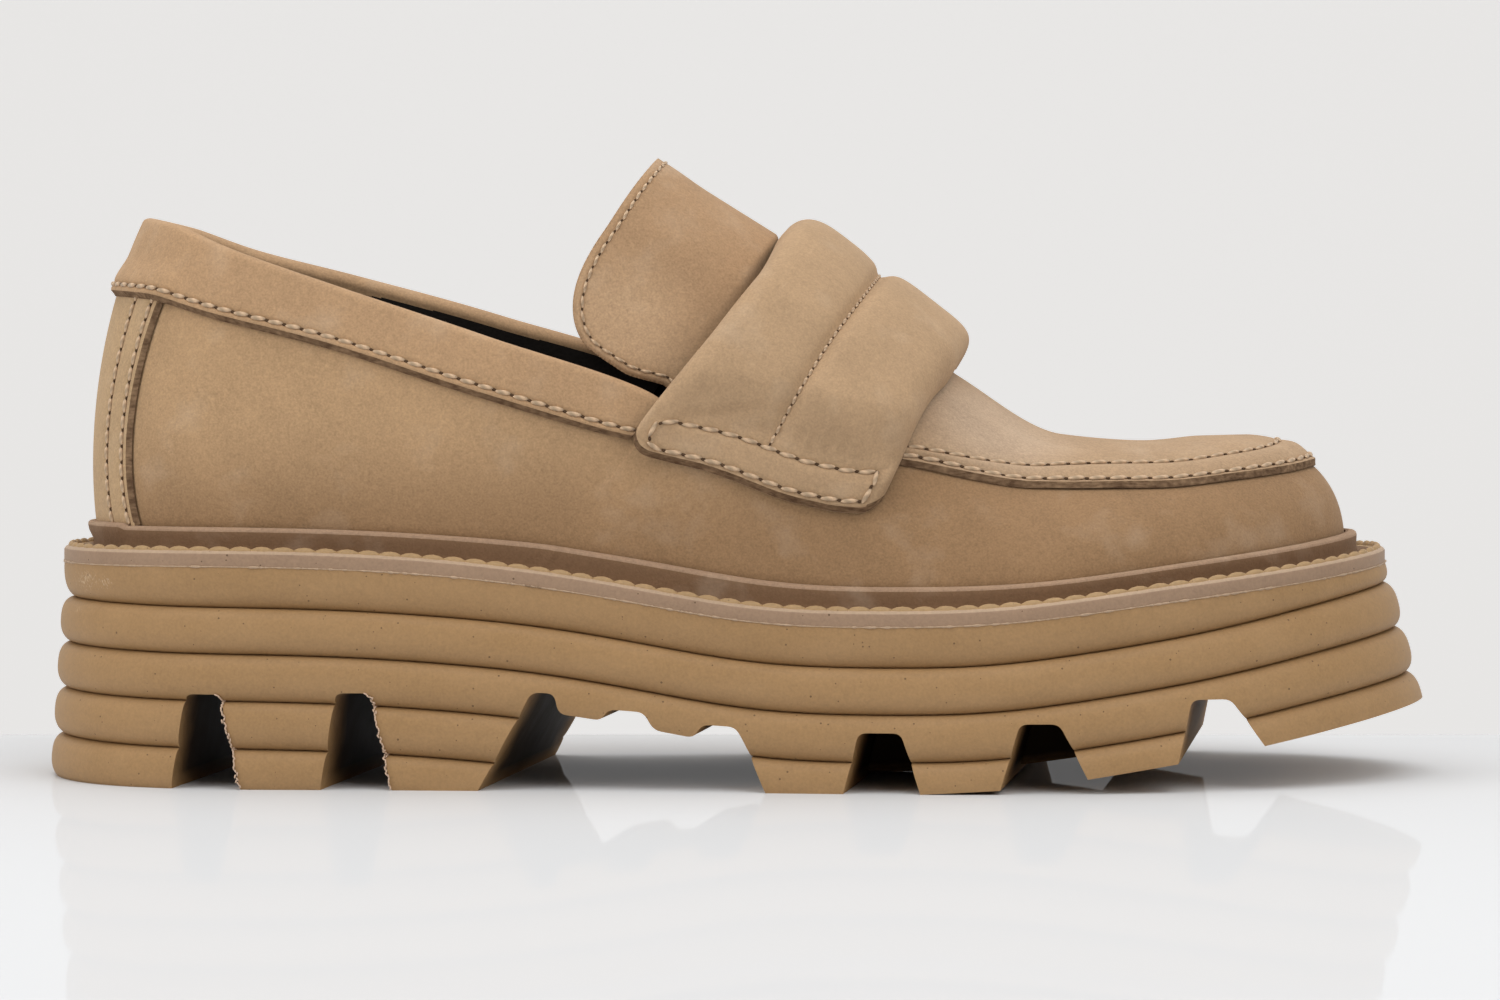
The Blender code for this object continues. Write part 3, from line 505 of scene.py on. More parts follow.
def joined(points, pairs):
    """Lets the last points of paired lines meet half way."""
    for a, b in pairs:
        points[a, -1] = points[b, -1] = (points[a, -1] + points[b, -1]) / 2
    return points


def sheet_points(q, t_grid, lift, pairs):
    return joined(lifted(along_rows(q, t_grid.shape[1]), t_grid, lift), pairs)


def grid_faces(number, closed=False):
    """Quads between the rows and columns of a grid of point numbers."""
    nxt = np.roll(number, -1, axis=0) if closed else number[1:]
    now = number if closed else number[:-1]
    return np.stack([now[:, :-1], nxt[:, :-1], nxt[:, 1:], now[:, 1:]], -1).reshape(-1, 4)


def free_edges(faces):
    """Edges that only one face uses, in the order that a closing face needs."""
    edges = {}
    for face in faces:
        corners = list(dict.fromkeys(int(i) for i in face))
        if len(corners) < 3:
            continue
        for a, b in zip(corners, corners[1:] + corners[:1]):
            edges[(a, b)] = True
    return [(b, a) for a, b in edges if (b, a) not in edges]


def sweep(sections, closed):
    """Faces through rings of points, joined end to end or capped, and the column of each face."""
    rings, around, _ = sections.shape
    number = np.arange(rings * around).reshape(rings, around)
    turned = np.concatenate([number, number[:, :1]], axis=1)
    faces = [tuple(int(i) for i in face) for face in grid_faces(turned, closed)]
    columns = list(np.tile(np.arange(around), rings if closed else rings - 1))
    if not closed:
        faces.append(tuple(range(around)))
        faces.append(tuple(reversed(range((rings - 1) * around, rings * around))))
        columns += [-1, -1]
    return faces, columns


def new_object(name, data):
    """An object in the scene."""
    obj = bpy.data.objects.new(name, data)
    bpy.context.scene.collection.objects.link(obj)
    return obj


def make_piece(name, points, faces, materials, slots=None, sharp=None):
    """A smooth, closed, outward mesh in place, with its materials by face."""
    kept, kept_slots = [], []
    for face, slot in zip(faces, slots or [0] * len(faces)):
        corners = list(dict.fromkeys(int(i) for i in face))
        if len(corners) > 2:
            kept.append(corners)
            kept_slots.append(slot)
    mesh = bpy.data.meshes.new(name)
    mesh.from_pydata((np.reshape(points, (-1, 3)) * MM).tolist(), [], kept)
    for material in materials:
        mesh.materials.append(material)
    mesh.polygons.foreach_set("material_index", kept_slots)
    mesh.polygons.foreach_set("use_smooth", [True] * len(kept))
    bm = bmesh.new()
    bm.from_mesh(mesh)
    loose = [vert for vert in bm.verts if not vert.link_faces]
    bmesh.ops.delete(bm, geom=loose, context="VERTS")
    bmesh.ops.recalc_face_normals(bm, faces=bm.faces)
    bm.to_mesh(mesh)
    bm.free()
    if sharp:
        mesh.set_sharp_from_angle(angle=math.radians(sharp))
    return new_object(name, mesh)


def panel(name, outer, inner, materials, slots=None, backs=(1, 1), number=None, closed=False, sharp=None):
    """A piece between two sheets of one layout; backs are the slots of its inner side and of its rim."""
    count = outer.size // 3
    if number is None:
        number = np.arange(count).reshape(outer.shape[:2])
    faces = grid_faces(number, closed)
    rim = [(a, b, b + count, a + count) for a, b in free_edges(faces)]
    slots = [0] * len(faces) if slots is None else list(slots)
    slots += [backs[0]] * len(faces) + [backs[1]] * len(rim)
    points = np.concatenate([outer.reshape(-1, 3), inner.reshape(-1, 3)])
    return make_piece(name, points, [*faces, *(faces[:, ::-1] + count), *rim], materials, slots, sharp)


def baked(obj, name):
    """The mesh that an object's modifiers leave; the object itself goes."""
    bpy.context.view_layer.update()
    graph = bpy.context.evaluated_depsgraph_get()
    mesh = bpy.data.meshes.new_from_object(obj.evaluated_get(graph))
    bpy.data.objects.remove(obj, do_unlink=True)
    mesh.name = name
    return mesh


def settle(obj, slot, *nodes):
    """Lets a finished piece ride on the shoe, in the place of its solids."""
    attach(obj, "root")
    if nodes:
        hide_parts(*nodes)
    return obj


class Net:
    """Short hand for building a node tree."""

    def __init__(self, tree):
        self.tree = tree

    def node(self, kind, settings=None, **inputs):
        node = self.tree.nodes.new(kind)
        for name, value in (settings or {}).items():
            setattr(node, name, value)
        for name, value in inputs.items():
            self.feed(node.inputs[name.replace("_", " ")], value)
        return node

    def get(self, kind, settings=None, **inputs):
        """The first output of a new node."""
        return self.node(kind, settings, **inputs).outputs[0]

    def feed(self, socket, value):
        if isinstance(value, bpy.types.NodeSocket):
            self.tree.links.new(value, socket)
        else:
            socket.default_value = value

    def filled(self, node, *values):
        """A node whose sockets are fed in their order."""
        for socket, value in zip(node.inputs, values):
            self.feed(socket, value)
        return node

    def math(self, operation, *values, clamp=False):
        node = self.node("ShaderNodeMath", {"operation": operation, "use_clamp": clamp})
        return self.filled(node, *values).outputs[0]

    def times(self, first, second, clamp=False):
        return self.math("MULTIPLY", first, second, clamp=clamp)

    def plus(self, first, second, clamp=False):
        return self.math("ADD", first, second, clamp=clamp)

    def minus(self, first, second, clamp=False):
        return self.math("SUBTRACT", first, second, clamp=clamp)

    def mix(self, factor, first, second):
        node = self.node("ShaderNodeMix", {"data_type": "RGBA"})
        for index, value in ((0, factor), (6, first), (7, second)):
            self.feed(node.inputs[index], value)
        return node.outputs[2]

    def scaled(self, colour, factor):
        return self.get("ShaderNodeVectorMath", {"operation": "SCALE"}, Vector=colour, Scale=factor)

    def place(self):
        """Coordinates on the piece itself."""
        return self.node("ShaderNodeTexCoord").outputs["Object"]

    def axes(self, vector):
        return self.node("ShaderNodeSeparateXYZ", Vector=vector).outputs

    def away(self, vector, point):
        """Distance from a point."""
        node = self.node("ShaderNodeVectorMath", {"operation": "DISTANCE"})
        return self.filled(node, vector, point).outputs["Value"]

    def ramp(self, value, start, end, soft=False, low=0.0, high=1.0):
        """Runs from low to high while a value runs from start to end."""
        settings = {"interpolation_type": "SMOOTHSTEP" if soft else "LINEAR"}
        ends = {"From_Min": start, "From_Max": end, "To_Min": low, "To_Max": high}
        return self.get("ShaderNodeMapRange", settings, Value=value, **ends)

    def noise(self, vector, scale, detail=3.0):
        return self.get("ShaderNodeTexNoise", Vector=vector, Scale=scale, Detail=detail)

    def stretched(self, vector, scale, turn=(0.0, 0.0, 0.0)):
        """Coordinates turned first and then drawn out along their own axes."""
        turned = self.get("ShaderNodeMapping", Vector=vector, Rotation=turn)
        return self.get("ShaderNodeMapping", Vector=turned, Scale=scale)

    def total(self, *parts):
        """Sum of (value from 0 to 1, weight) pairs, each counted from its middle."""
        result = None
        for value, weight in parts:
            part = self.times(self.minus(value, 0.5), weight)
            result = part if result is None else self.plus(result, part)
        return result

    def around(self, middle, *parts):
        """The same sum about a middle value."""
        return self.plus(self.total(*parts), middle)


# Nubuck: nap slant, dust on blotches; vamp darker in own tone and painted shade; painted shade at the foot
# (m).
NAP_TURN = math.radians(-55.0)
NAP_DUST = (0.62, 0.5, 0.38, 1.0)
VAMP_TONE_AND_SHADE_FROM = (-0.005, 0.035)
FOOT_PAINTED_SHADE = (0.074, 0.047)
# Rubber: dust and pits, scratches at the scuffs, painted shade under the ribs and in the tread (m).
RUBBER_DUST = (0.55, 0.42, 0.3, 1.0)
PIT_SHADE = (0.09, 0.05, 0.025, 1.0)
SCUFF = (0.66, 0.5, 0.34, 1.0)
SCUFF_SHAPE = (1.0, 0.25, 1.4)
SCRATCH_TURN = math.radians(35.0)
# Painted shade on the undersides of the ribs: how much it darkens the colour.
GROOVE_PAINTED_SHADE = 0.08
# Painted shade in the tread's hollows: its colour, where it sets in from the sides, its ragged edge, where
# and how much it fades towards the toe, its rise over the lugs and its share on them.
TREAD_PAINTED_SHADE = (0.03, 0.019, 0.011, 1.0)
PAINTED_SHADE_SIDE = (0.043, 0.026)
PAINTED_SHADE_RAGGED = 0.012
PAINTED_SHADE_FORE = (0.084, 0.07)
PAINTED_SHADE_SHARE = (0.35, 0.95)
PAINTED_SHADE_HOLLOW = (0.0004, 0.003)
PAINTED_SHADE_ON_LUGS = 0.12


def nap_layers(net, given):
    """Brushed leather: broad tone, blotches, strokes of the nap and fine grain."""
    place = net.place()
    broad = net.noise(place, 30.0, 2.0)
    blotch = net.noise(place, 95.0, 5.0)
    stroke = net.noise(net.stretched(place, (0.28, 1.0, 1.0), (0.0, NAP_TURN, 0.0)), 130.0, 4.0)
    speckle = net.noise(place, 900.0)
    grain = net.noise(place, 2300.0, 2.0)
    tone = net.total((broad, 0.6), (blotch, 0.45), (speckle, 1.0), (grain, 1.9))
    tone = net.times(tone, given["Mottle"])
    strokes = net.times(net.total((stroke, 1.0)), given["Strokes"])
    shade = net.plus(net.plus(tone, strokes), 1.0)
    pale = net.times(net.minus(blotch, 0.54, clamp=True), 0.8)
    colour = net.mix(pale, net.scaled(given["Base Color"], shade), NAP_DUST)
    height = net.total((grain, 0.8), (speckle, 0.7), (stroke, 0.2), (blotch, 0.5))
    return colour, net.around(0.86, (blotch, 0.14)), height


def rubber_layers(net, given):
    """Moulded rubber: soft tone, matte grain and small dark pits."""
    place = net.place()
    broad = net.noise(place, 30.0)
    smear = net.noise(net.stretched(place, (0.3, 1.0, 1.0)), 160.0, 4.0)
    grain = net.noise(place, 1900.0, 2.0)
    speckle = net.noise(place, 800.0)
    cells = net.node("ShaderNodeTexVoronoi", Vector=place, Scale=620.0).outputs
    chance = net.node("ShaderNodeSeparateColor", Color=cells["Color"]).outputs
    size = net.plus(net.times(chance["Green"], 0.09), 0.05)
    near = net.math("LESS_THAN", cells["Distance"], size)
    pit = net.times(near, net.math("GREATER_THAN", chance["Red"], 0.62))
    tone = net.around(1.0, (broad, 0.16), (smear, 0.14), (speckle, 0.2), (grain, 0.36))
    dust = net.times(smear, given["Dust"])
    dusty = net.mix(dust, net.scaled(given["Base Color"], tone), RUBBER_DUST)
    colour = net.mix(net.times(pit, given["Pits"]), dusty, PIT_SHADE)
    height = net.minus(net.total((grain, 0.35), (smear, 0.3)), pit)
    return colour, net.around(0.56, (smear, 0.2), (grain, 0.12)), height


def fibre_layers(net, given):
    """Cut edge of leather: loose fibres, light and dark."""
    place = net.place()
    fibre = net.noise(net.stretched(place, (0.4, 1.0, 1.0)), 1500.0, 4.0)
    clump = net.noise(place, 330.0)
    light = net.plus(net.total((fibre, 1.6), (clump, 1.3)), 0.35, clamp=True)
    colour = net.mix(light, given["Base Color"], given["Fibre Color"])
    return colour, net.around(0.92, (fibre, 0.1)), net.total((fibre, 1.0), (clump, 0.7))


# Finishes: layers of their shared group, its inputs, strength and depth of the relief (m), plain values.
Finish = namedtuple("Finish", "layers inputs bump depth plain")
NUBUCK_SHADER = {"Specular IOR Level": 0.22, "Sheen Weight": 0.16, "Sheen Roughness": 0.5}
NUBUCK_SHADER["Sheen Tint"] = (0.9, 0.72, 0.55, 1.0)
NUBUCK = {"Base Color": (0.44, 0.28, 0.16, 1.0), "Mottle": 0.3, "Strokes": 0.2}
RUBBER = {"Base Color": (0.36, 0.21, 0.105, 1.0), "Pits": 0.7, "Dust": 0.1}
CUT = {"Base Color": (0.16, 0.1, 0.06, 1.0), "Fibre Color": (0.4, 0.28, 0.18, 1.0)}
FINISHES = {
    "nap": Finish(nap_layers, NUBUCK, 0.22, 0.0005, NUBUCK_SHADER),
    "rubber": Finish(rubber_layers, RUBBER, 0.25, 0.0004, {"Specular IOR Level": 0.35}),
    "fibre": Finish(fibre_layers, CUT, 0.7, 0.0006, {"Specular IOR Level": 0.1}),
}


def add_socket(tree, label, kind, way="INPUT"):
    return tree.interface.new_socket(label, in_out=way, socket_type="NodeSocket" + kind)


def shared_group(kind):
    """The shader group of a finish, built at its first use."""
    label = "shoe_" + kind
    if label not in bpy.data.node_groups:
        finish = FINISHES[kind]
        tree = bpy.data.node_groups.new(label, "ShaderNodeTree")
        for name, value in finish.inputs.items():
            add_socket(tree, name, "Color" if name.endswith("Color") else "Float").default_value = value
        for name in ("Color", "Roughness", "Height"):
            add_socket(tree, name, "Color" if name == "Color" else "Float", "OUTPUT")
        net = Net(tree)
        layers = finish.layers(net, net.node("NodeGroupInput").outputs)
        net.filled(net.node("NodeGroupOutput"), *layers)
    return bpy.data.node_groups[label]


def opaque(colour):
    return (colour[0], colour[1], colour[2], 1.0)


def new_material(name, colour, plain):
    """A material, its net and its shader, with the plain values set on the shader itself."""
    material = bpy.data.materials.new(name)
    material.use_nodes = True
    material.diffuse_color = opaque(colour)
    shader = material.node_tree.nodes["Principled BSDF"]
    for label, value in plain.items():
        shader.inputs[label].default_value = value
    return material, Net(material.node_tree), shader


def dress(net, shader, colour, rough, height, bump, depth):
    """Leads colour, roughness and relief to a shader."""
    relief = net.get("ShaderNodeBump", Strength=bump, Distance=depth, Height=height)
    for label, value in (("Base Color", colour), ("Roughness", rough), ("Normal", relief)):
        net.feed(shader.inputs[label], value)


def finished(name, kind, colour, **values):
    """A material whose colour, roughness and relief come from the shared group of a finish."""
    finish = FINISHES[kind]
    material, net, shader = new_material(name, colour, finish.plain)
    group = {"node_tree": shared_group(kind)}
    layers = net.node("ShaderNodeGroup", group, Base_Color=opaque(colour), **values).outputs
    dress(net, shader, *layers, finish.bump, finish.depth)
    return material


def recoloured(material, net, share, first, second):
    """Lets the base colour of a finish run over into another one."""
    group = next(node for node in material.node_tree.nodes if node.type == "GROUP")
    net.feed(group.inputs["Base Color"], net.mix(share, opaque(first), opaque(second)))
    return material


def upper_nubuck(name, colour, vamp):
    """Nubuck darker on the vamp, in its own tone and in painted shade, with painted shade towards its foot.
    """
    material = finished(name, "nap", colour)
    net = Net(material.node_tree)
    axes = net.axes(net.place())
    # The vamp's darker colour stands partly for its own tone and partly for painted shade; below a height it
    # is painted shade on the upper's foot.
    fore = net.ramp(axes["X"], *VAMP_TONE_AND_SHADE_FROM, soft=True)
    foot = net.ramp(axes["Z"], *FOOT_PAINTED_SHADE, soft=True)
    return recoloured(material, net, net.math("MAXIMUM", fore, foot), colour, vamp)


def pale_spot_nubuck(name, colour, dust, spot, reach):
    """Nubuck with one paler place; on the tongue it is a painted pool of light."""
    material = finished(name, "nap", colour)
    net = Net(material.node_tree)
    near = net.ramp(net.away(net.place(), spot), reach, reach * 0.25, soft=True)
    return recoloured(material, net, near, colour, dust)


def wear_and_shade_on(material):
    """Net, shader and bare colour of a material that is to be worn or given painted shade."""
    shader = material.node_tree.nodes["Principled BSDF"]
    return Net(material.node_tree), shader, shader.inputs["Base Color"].links[0].from_socket


def scuffed_rubber(name, colour, spots):
    """Rubber with pale scratches at a few places on its outer side and painted shade under its ribs."""
    material = finished(name, "rubber", colour, Dust=0.12)
    net, shader, bare_colour = wear_and_shade_on(material)
    place = net.place()
    lines = net.noise(net.stretched(place, (1.0, 1.0, 0.2), (0.0, SCRATCH_TURN, 0.0)), 3600.0, 4.0)
    flat = net.get("ShaderNodeMapping", Vector=place, Scale=SCUFF_SHAPE)
    worn = 0.0
    for *spot, reach in spots:
        middle = tuple(value * scale for value, scale in zip(spot, SCUFF_SHAPE))
        worn = net.math("MAXIMUM", worn, net.ramp(net.away(flat, middle), reach, 0.0))
    limit = net.minus(0.74, net.times(worn, 0.34))
    near = net.times(net.minus(lines, limit), 9.0, clamp=True)
    mask = net.times(net.times(near, net.math("GREATER_THAN", worn, 0.02)), 0.6)
    # The groove attribute carries painted shade under the ribs, which darkens the colour here.
    soil = net.node("ShaderNodeAttribute", {"attribute_name": "groove"}).outputs["Fac"]
    left = net.minus(1.0, net.times(soil, GROOVE_PAINTED_SHADE))
    net.feed(shader.inputs["Base Color"], net.scaled(net.mix(mask, bare_colour, SCUFF), left))
    return material


def tread_rubber(name, colour):
    """Tread rubber with painted shade in its hollows towards the middle of the sole, not at the toe."""
    material = finished(name, "rubber", colour, Pits=0.5, Dust=0.05)
    net, shader, bare_colour = wear_and_shade_on(material)
    place = net.place()
    axes = net.axes(place)
    ragged = net.total((net.noise(place, 140.0, 4.0), PAINTED_SHADE_RAGGED))
    inward = net.ramp(net.plus(net.math("ABSOLUTE", axes["Y"]), ragged), *PAINTED_SHADE_SIDE)
    fore = net.ramp(axes["X"], *PAINTED_SHADE_FORE, False, *PAINTED_SHADE_SHARE)
    past = net.math("DIVIDE", net.minus(axes["X"], SPRING_START * MM), SPRING_REACH * MM)
    rise = net.math("POWER", net.math("MAXIMUM", past, 0.0), SPRING_POWER)
    over = net.minus(axes["Z"], net.times(rise, SPRING_RISE * MM))
    hollow = net.ramp(over, *PAINTED_SHADE_HOLLOW, low=PAINTED_SHADE_ON_LUGS)
    # Painted shade: darker deep in the tread, away from its sides and its toe.
    soil = net.times(net.times(inward, fore), hollow)
    net.feed(shader.inputs["Base Color"], net.mix(soil, bare_colour, TREAD_PAINTED_SHADE))
    shader.inputs["Specular IOR Level"].default_value = 0.04
    return material


def lining(name, colour):
    """Dark lining leather: fine grain, faint gloss."""
    material, net, shader = new_material(name, colour, {"Specular IOR Level": 0.12})
    place = net.place()
    grain = net.get("ShaderNodeTexVoronoi", Vector=place, Scale=1500.0)
    tone = net.around(1.0, (net.noise(place, 60.0), 0.5), (grain, 0.4))
    rough = net.around(0.75, (grain, 0.2))
    dress(net, shader, net.scaled(colour[:3], tone), rough, grain, 0.3, 0.0003)
    return material


def thread(name, colour):
    """Twisted thread: the plies run slantwise round each stitch."""
    material, net, shader = new_material(name, colour, {"Sheen Weight": 0.15})
    axes = net.axes(net.node("ShaderNodeAttribute", {"attribute_name": "ply"}).outputs["Vector"])
    slant = net.plus(net.times(axes["X"], 9.0), net.times(axes["Y"], 2.6))
    ply = net.plus(net.times(net.math("SINE", slant), 0.5), 0.5)
    shade = net.plus(net.times(ply, 0.4), 0.72)
    rough = net.plus(net.times(ply, 0.15), 0.62)
    dress(net, shader, net.scaled(colour[:3], shade), rough, ply, 0.6, 0.0003)
    return material


def needle_hole(name, colour):
    """Shadowed hole that a needle leaves in the leather."""
    material, net, shader = new_material(name, colour, {"Roughness": 1.0, "Specular IOR Level": 0.0})
    tone = net.around(1.0, (net.noise(net.place(), 900.0), 0.8))
    net.feed(shader.inputs["Base Color"], net.scaled(colour[:3], tone))
    return material


def shared_material(name, maker, *values, **more):
    """A material that several pieces wear, made at its first use."""
    return bpy.data.materials.get(name) or maker(name, *values, **more)


# Sizes of the small shapes of a row, where a row gives none: mark, metres and radians.
ROW_SIZES = {"Mark": 0.0, "Length": 2.8 * MM, "Width": 1.0 * MM, "Height": 0.8 * MM}
ROW_SIZES.update(Raise=0.2 * MM, Slant=0.0)


def row_tree():
    """Geometry nodes: one small rounded shape at every pitch along a path, turned to the surface."""
    tree = bpy.data.node_groups.new("row_of_shapes", "GeometryNodeTree")
    add_socket(tree, "Geometry", "Geometry")
    for label, default in ROW_SIZES.items():
        add_socket(tree, label, "Float").default_value = default
    add_socket(tree, "Material", "Material")
    add_socket(tree, "Geometry", "Geometry", "OUTPUT")
    net = Net(tree)
    given = net.node("NodeGroupInput").outputs
    curve = net.get("GeometryNodeMeshToCurve", Mesh=given["Geometry"])
    up = net.get("GeometryNodeInputNamedAttribute", {"data_type": "FLOAT_VECTOR"}, Name="up")
    raised = net.get("GeometryNodeSetPosition", Geometry=curve, Offset=net.scaled(up, given["Raise"]))
    turn = net.get(
        "FunctionNodeAxesToRotation",
        {"primary_axis": "X", "secondary_axis": "Z"},
        Primary_Axis=net.get("GeometryNodeInputTangent"),
        Secondary_Axis=up,
    )
    marked = net.get(
        "GeometryNodeStoreNamedAttribute",
        {"data_type": "FLOAT_VECTOR", "domain": "POINT"},
        Geometry=net.get("GeometryNodeMeshUVSphere", Segments=10, Rings=7, Radius=0.5),
        Name="ply",
        Value=net.get("GeometryNodeInputPosition"),
    )
    size = net.get("ShaderNodeCombineXYZ", X=given["Length"], Y=given["Width"], Z=given["Height"])
    spin = net.get("ShaderNodeCombineXYZ", Z=given["Slant"])
    shape = net.get("GeometryNodeTransform", Geometry=marked, Scale=size)
    slanted = net.get("GeometryNodeTransform", Geometry=shape, Rotation=spin)
    mark = net.get("GeometryNodeInputNamedAttribute", {"data_type": "FLOAT"}, Name="mark")
    apart = net.math("ABSOLUTE", net.minus(mark, given["Mark"]))
    placed = net.get(
        "GeometryNodeInstanceOnPoints",
        Points=raised,
        Selection=net.math("LESS_THAN", apart, 0.5),
        Instance=net.get("GeometryNodeSetShadeSmooth", Geometry=slanted),
        Rotation=turn,
    )
    real = net.get("GeometryNodeRealizeInstances", Geometry=placed)
    dressed = net.get("GeometryNodeSetMaterial", Geometry=real, Material=given["Material"])
    net.node("NodeGroupOutput", Geometry=dressed)
    return tree


def half_steps(path, up, closed, pitch):
    """A path drawn again with points half a pitch apart, and the mark of each: 0 and 1 in turn."""
    path, up = np.asarray(path), np.asarray(up)
    if closed:
        path, up = np.concatenate([path, path[:1]]), np.concatenate([up, up[:1]])
    run = lengths(path)
    count = 2 * max(1, round(run[-1] / pitch))
    steps = run[-1] * np.arange(count + (not closed)) / count
    return points_at(steps, run, path), points_at(steps, run, up), np.arange(len(steps)) % 2


def row_pieces(name, paths, closed, pitch, material, **sizes):
    """Bakes rows of small shapes along paths, each path being its points and the way up at each."""
    points, ups, marks, edges = [], [], [], []
    for path, up in paths:
        start = len(points)
        path, up, mark = half_steps(path, up, closed, pitch)
        points.extend((path * MM).tolist())
        ups.extend(up.tolist())
        marks.extend(mark.tolist())
        edges.extend((i, i + 1) for i in range(start, len(points) - 1))
        if closed:
            edges.append((len(points) - 1, start))
    mesh = bpy.data.meshes.new(name + "_path")
    mesh.from_pydata(points, edges, [])
    mesh.attributes.new("up", "FLOAT_VECTOR", "POINT").data.foreach_set("vector", np.ravel(ups))
    mesh.attributes.new("mark", "FLOAT", "POINT").data.foreach_set("value", np.array(marks, float))
    path_object = new_object(name + "_path", mesh)
    tree = bpy.data.node_groups.get("row_of_shapes") or row_tree()
    modifier = path_object.modifiers.new("row", "NODES")
    modifier.node_group = tree
    wanted = dict(sizes, Material=material)
    for item in tree.interface.items_tree:
        if item.in_out == "INPUT" and item.name in wanted:
            modifier[item.identifier] = wanted[item.name]
    row = baked(path_object, name)
    if not row.polygons:
        raise RuntimeError(f"{name}: the row came out empty")
    return new_object(name, row)


# How the panels are cut and where they are sewn: thicknesses, and distances from a cut edge.
BEVEL = 0.9
EDGE_LEFT = 0.12
APRON_THICK = 1.15
STRIP_THICK = 1.0
BAND_ROW = 2.2
STRIP_ROWS = (2.4, 8.4)
APRON_ROW = 2.0
APRON_ROLL = (4.4, 8.8)
TAB_ROWS = (1.9, 7.9)
TAB_SIDE = 2.4
TAB_HOOK = (6.2, 2.6)
TONGUE_ROW = 1.8
GROOVE = 0.3
GROOVE_WIDTH = 0.6

# How widely, how far down and how often the fold under the throat's corners is evened out.
EASE_WIDTH = 0.035
EASE_RISE = 6
EASE_ROUNDS = 60

# Soft troughs and ridges in the leather: a line in the side view, its width, its depth outwards and
# the side it lies on (-1 outer, 1 inner). They fade out towards the middle of the shoe.
CREASE_FADE = 10.0
CREASE = "x0 z0 x1 z1 width depth side"
CREASES = table(
    CREASE,
    (38.0, 55.0, 46.0, 42.0, 7.0, -0.35, -1),
    (49.0, 55.0, 58.0, 41.0, 8.0, 0.3, -1),
    (66.0, 55.0, 72.0, 43.0, 9.0, -0.2, -1),
    (-20.0, 61.0, -40.0, 52.0, 5.0, -0.3, -1),
    (-14.0, 57.0, -26.0, 46.0, 6.0, 0.25, -1),
    (-78.0, 70.0, -70.0, 50.0, 18.0, 0.35, -1),
    (-98.0, 78.0, -95.0, 52.0, 12.0, -0.3, -1),
    (40.0, 54.0, 48.0, 42.0, 8.0, -0.35, 1),
    (52.0, 54.0, 60.0, 42.0, 8.0, 0.3, 1),
    (-24.0, 62.0, -42.0, 52.0, 6.0, -0.3, 1),
    (-76.0, 72.0, -70.0, 50.0, 16.0, 0.35, 1),
)


def crease_lift(points, creases=CREASES):
    """How far the soft troughs and ridges move each point outwards."""
    lift = np.zeros(points.shape[:-1])
    for crease in creases:
        start = np.array([crease.x0, crease.z0])
        run = np.array([crease.x1, crease.z1]) - start
        plan = points[..., [0, 2]] - start
        share = np.clip((plan @ run) / (run @ run), 0.0, 1.0)
        away = np.linalg.norm(plan - share[..., None] * run, axis=-1)
        near_side = smooth(points[..., 1] * crease.side / CREASE_FADE)
        lift += crease.depth * dip(away, 0.0, crease.width) * near_side
    return lift


def cut_lift(distance, thick, bevel=BEVEL):
    """Outer face of a panel with a slanting cut edge."""
    return GAP + thick * np.clip(distance / bevel, EDGE_LEFT, 1.0)


def groove(distance, rows):
    """How far the thread pulls the leather in along its rows."""
    return sum(-GROOVE * dip(distance, row, GROOVE_WIDTH) for row in rows)


def edge_slots(distance, bevel=BEVEL):
    """Material slot of each face of a sheet by the distance of its middle from the cut edge."""
    middle = (distance[:-1, :-1] + distance[1:, 1:]) / 2
    return np.where(middle < bevel, 1, 0).reshape(-1)


def eased(grid, ring):
    """Evens out a closed grid of points where the collar runs up into the throat."""
    middle = (PLACE["collar_end"] + PLACE["throat_top"]) / 2
    place = np.minimum(ring.loop, 2 - ring.loop)
    weight = 0.5 * dip(place, middle, EASE_WIDTH)[:, None]
    weight = weight * smooth(even(grid.shape[1]) * EASE_RISE)
    weight[:, -1] = 0.0
    grid = grid.copy()
    for _ in range(EASE_ROUNDS):
        mean = (np.roll(grid, 1, axis=0) + np.roll(grid, -1, axis=0)) / 2
        grid += weight[..., None] * (mean - grid)
    return grid


def build_upper(leather, inside):
    ring = Ring("upper")
    t = np.tile(even(UPPER_ROWS), (ring.count, 1))
    number, pairs = ring.numbers(np.arange(ring.count), UPPER_ROWS)
    grid = along_rows(ring.loop, UPPER_ROWS)
    outer = eased(sheet_points(ring.loop, t, crease_lift(surface(grid, t)), pairs), ring)
    inner = joined(outer - WALL * eased(normal(grid, t), ring), pairs)
    return panel("upper_leather", outer, inner, [leather, inside], None, (1, 0), number, closed=True)


# Distances of the rows of points near a cut edge.
EDGE_NEAR = [0.0, 0.3, 0.6, 0.88, 0.92]
APRON_NEAR = np.concatenate([EDGE_NEAR, np.arange(1.4, 11.5, 0.32)])
BAND_NEAR = np.concatenate([EDGE_NEAR, np.arange(1.4, 6.0, 0.3)])
# Apron: where its roll widens, how high and how slim the roll is, rise and run of its crown.
ROLL_WIDENS = (0.54, 0.16)
ROLL_RISE = 0.55
ROLL_SLIM = 3.2
APRON_CROWN = (0.12, 6.0)


def apron_roll(places):
    """Distance of the apron's upper row from its cut edge: the roll widens from the strap to the toe."""
    side = np.minimum(places, 2 - places)
    widened = smooth((side - ROLL_WIDENS[0]) / ROLL_WIDENS[1])
    return APRON_ROLL[0] + (APRON_ROLL[1] - APRON_ROLL[0]) * widened


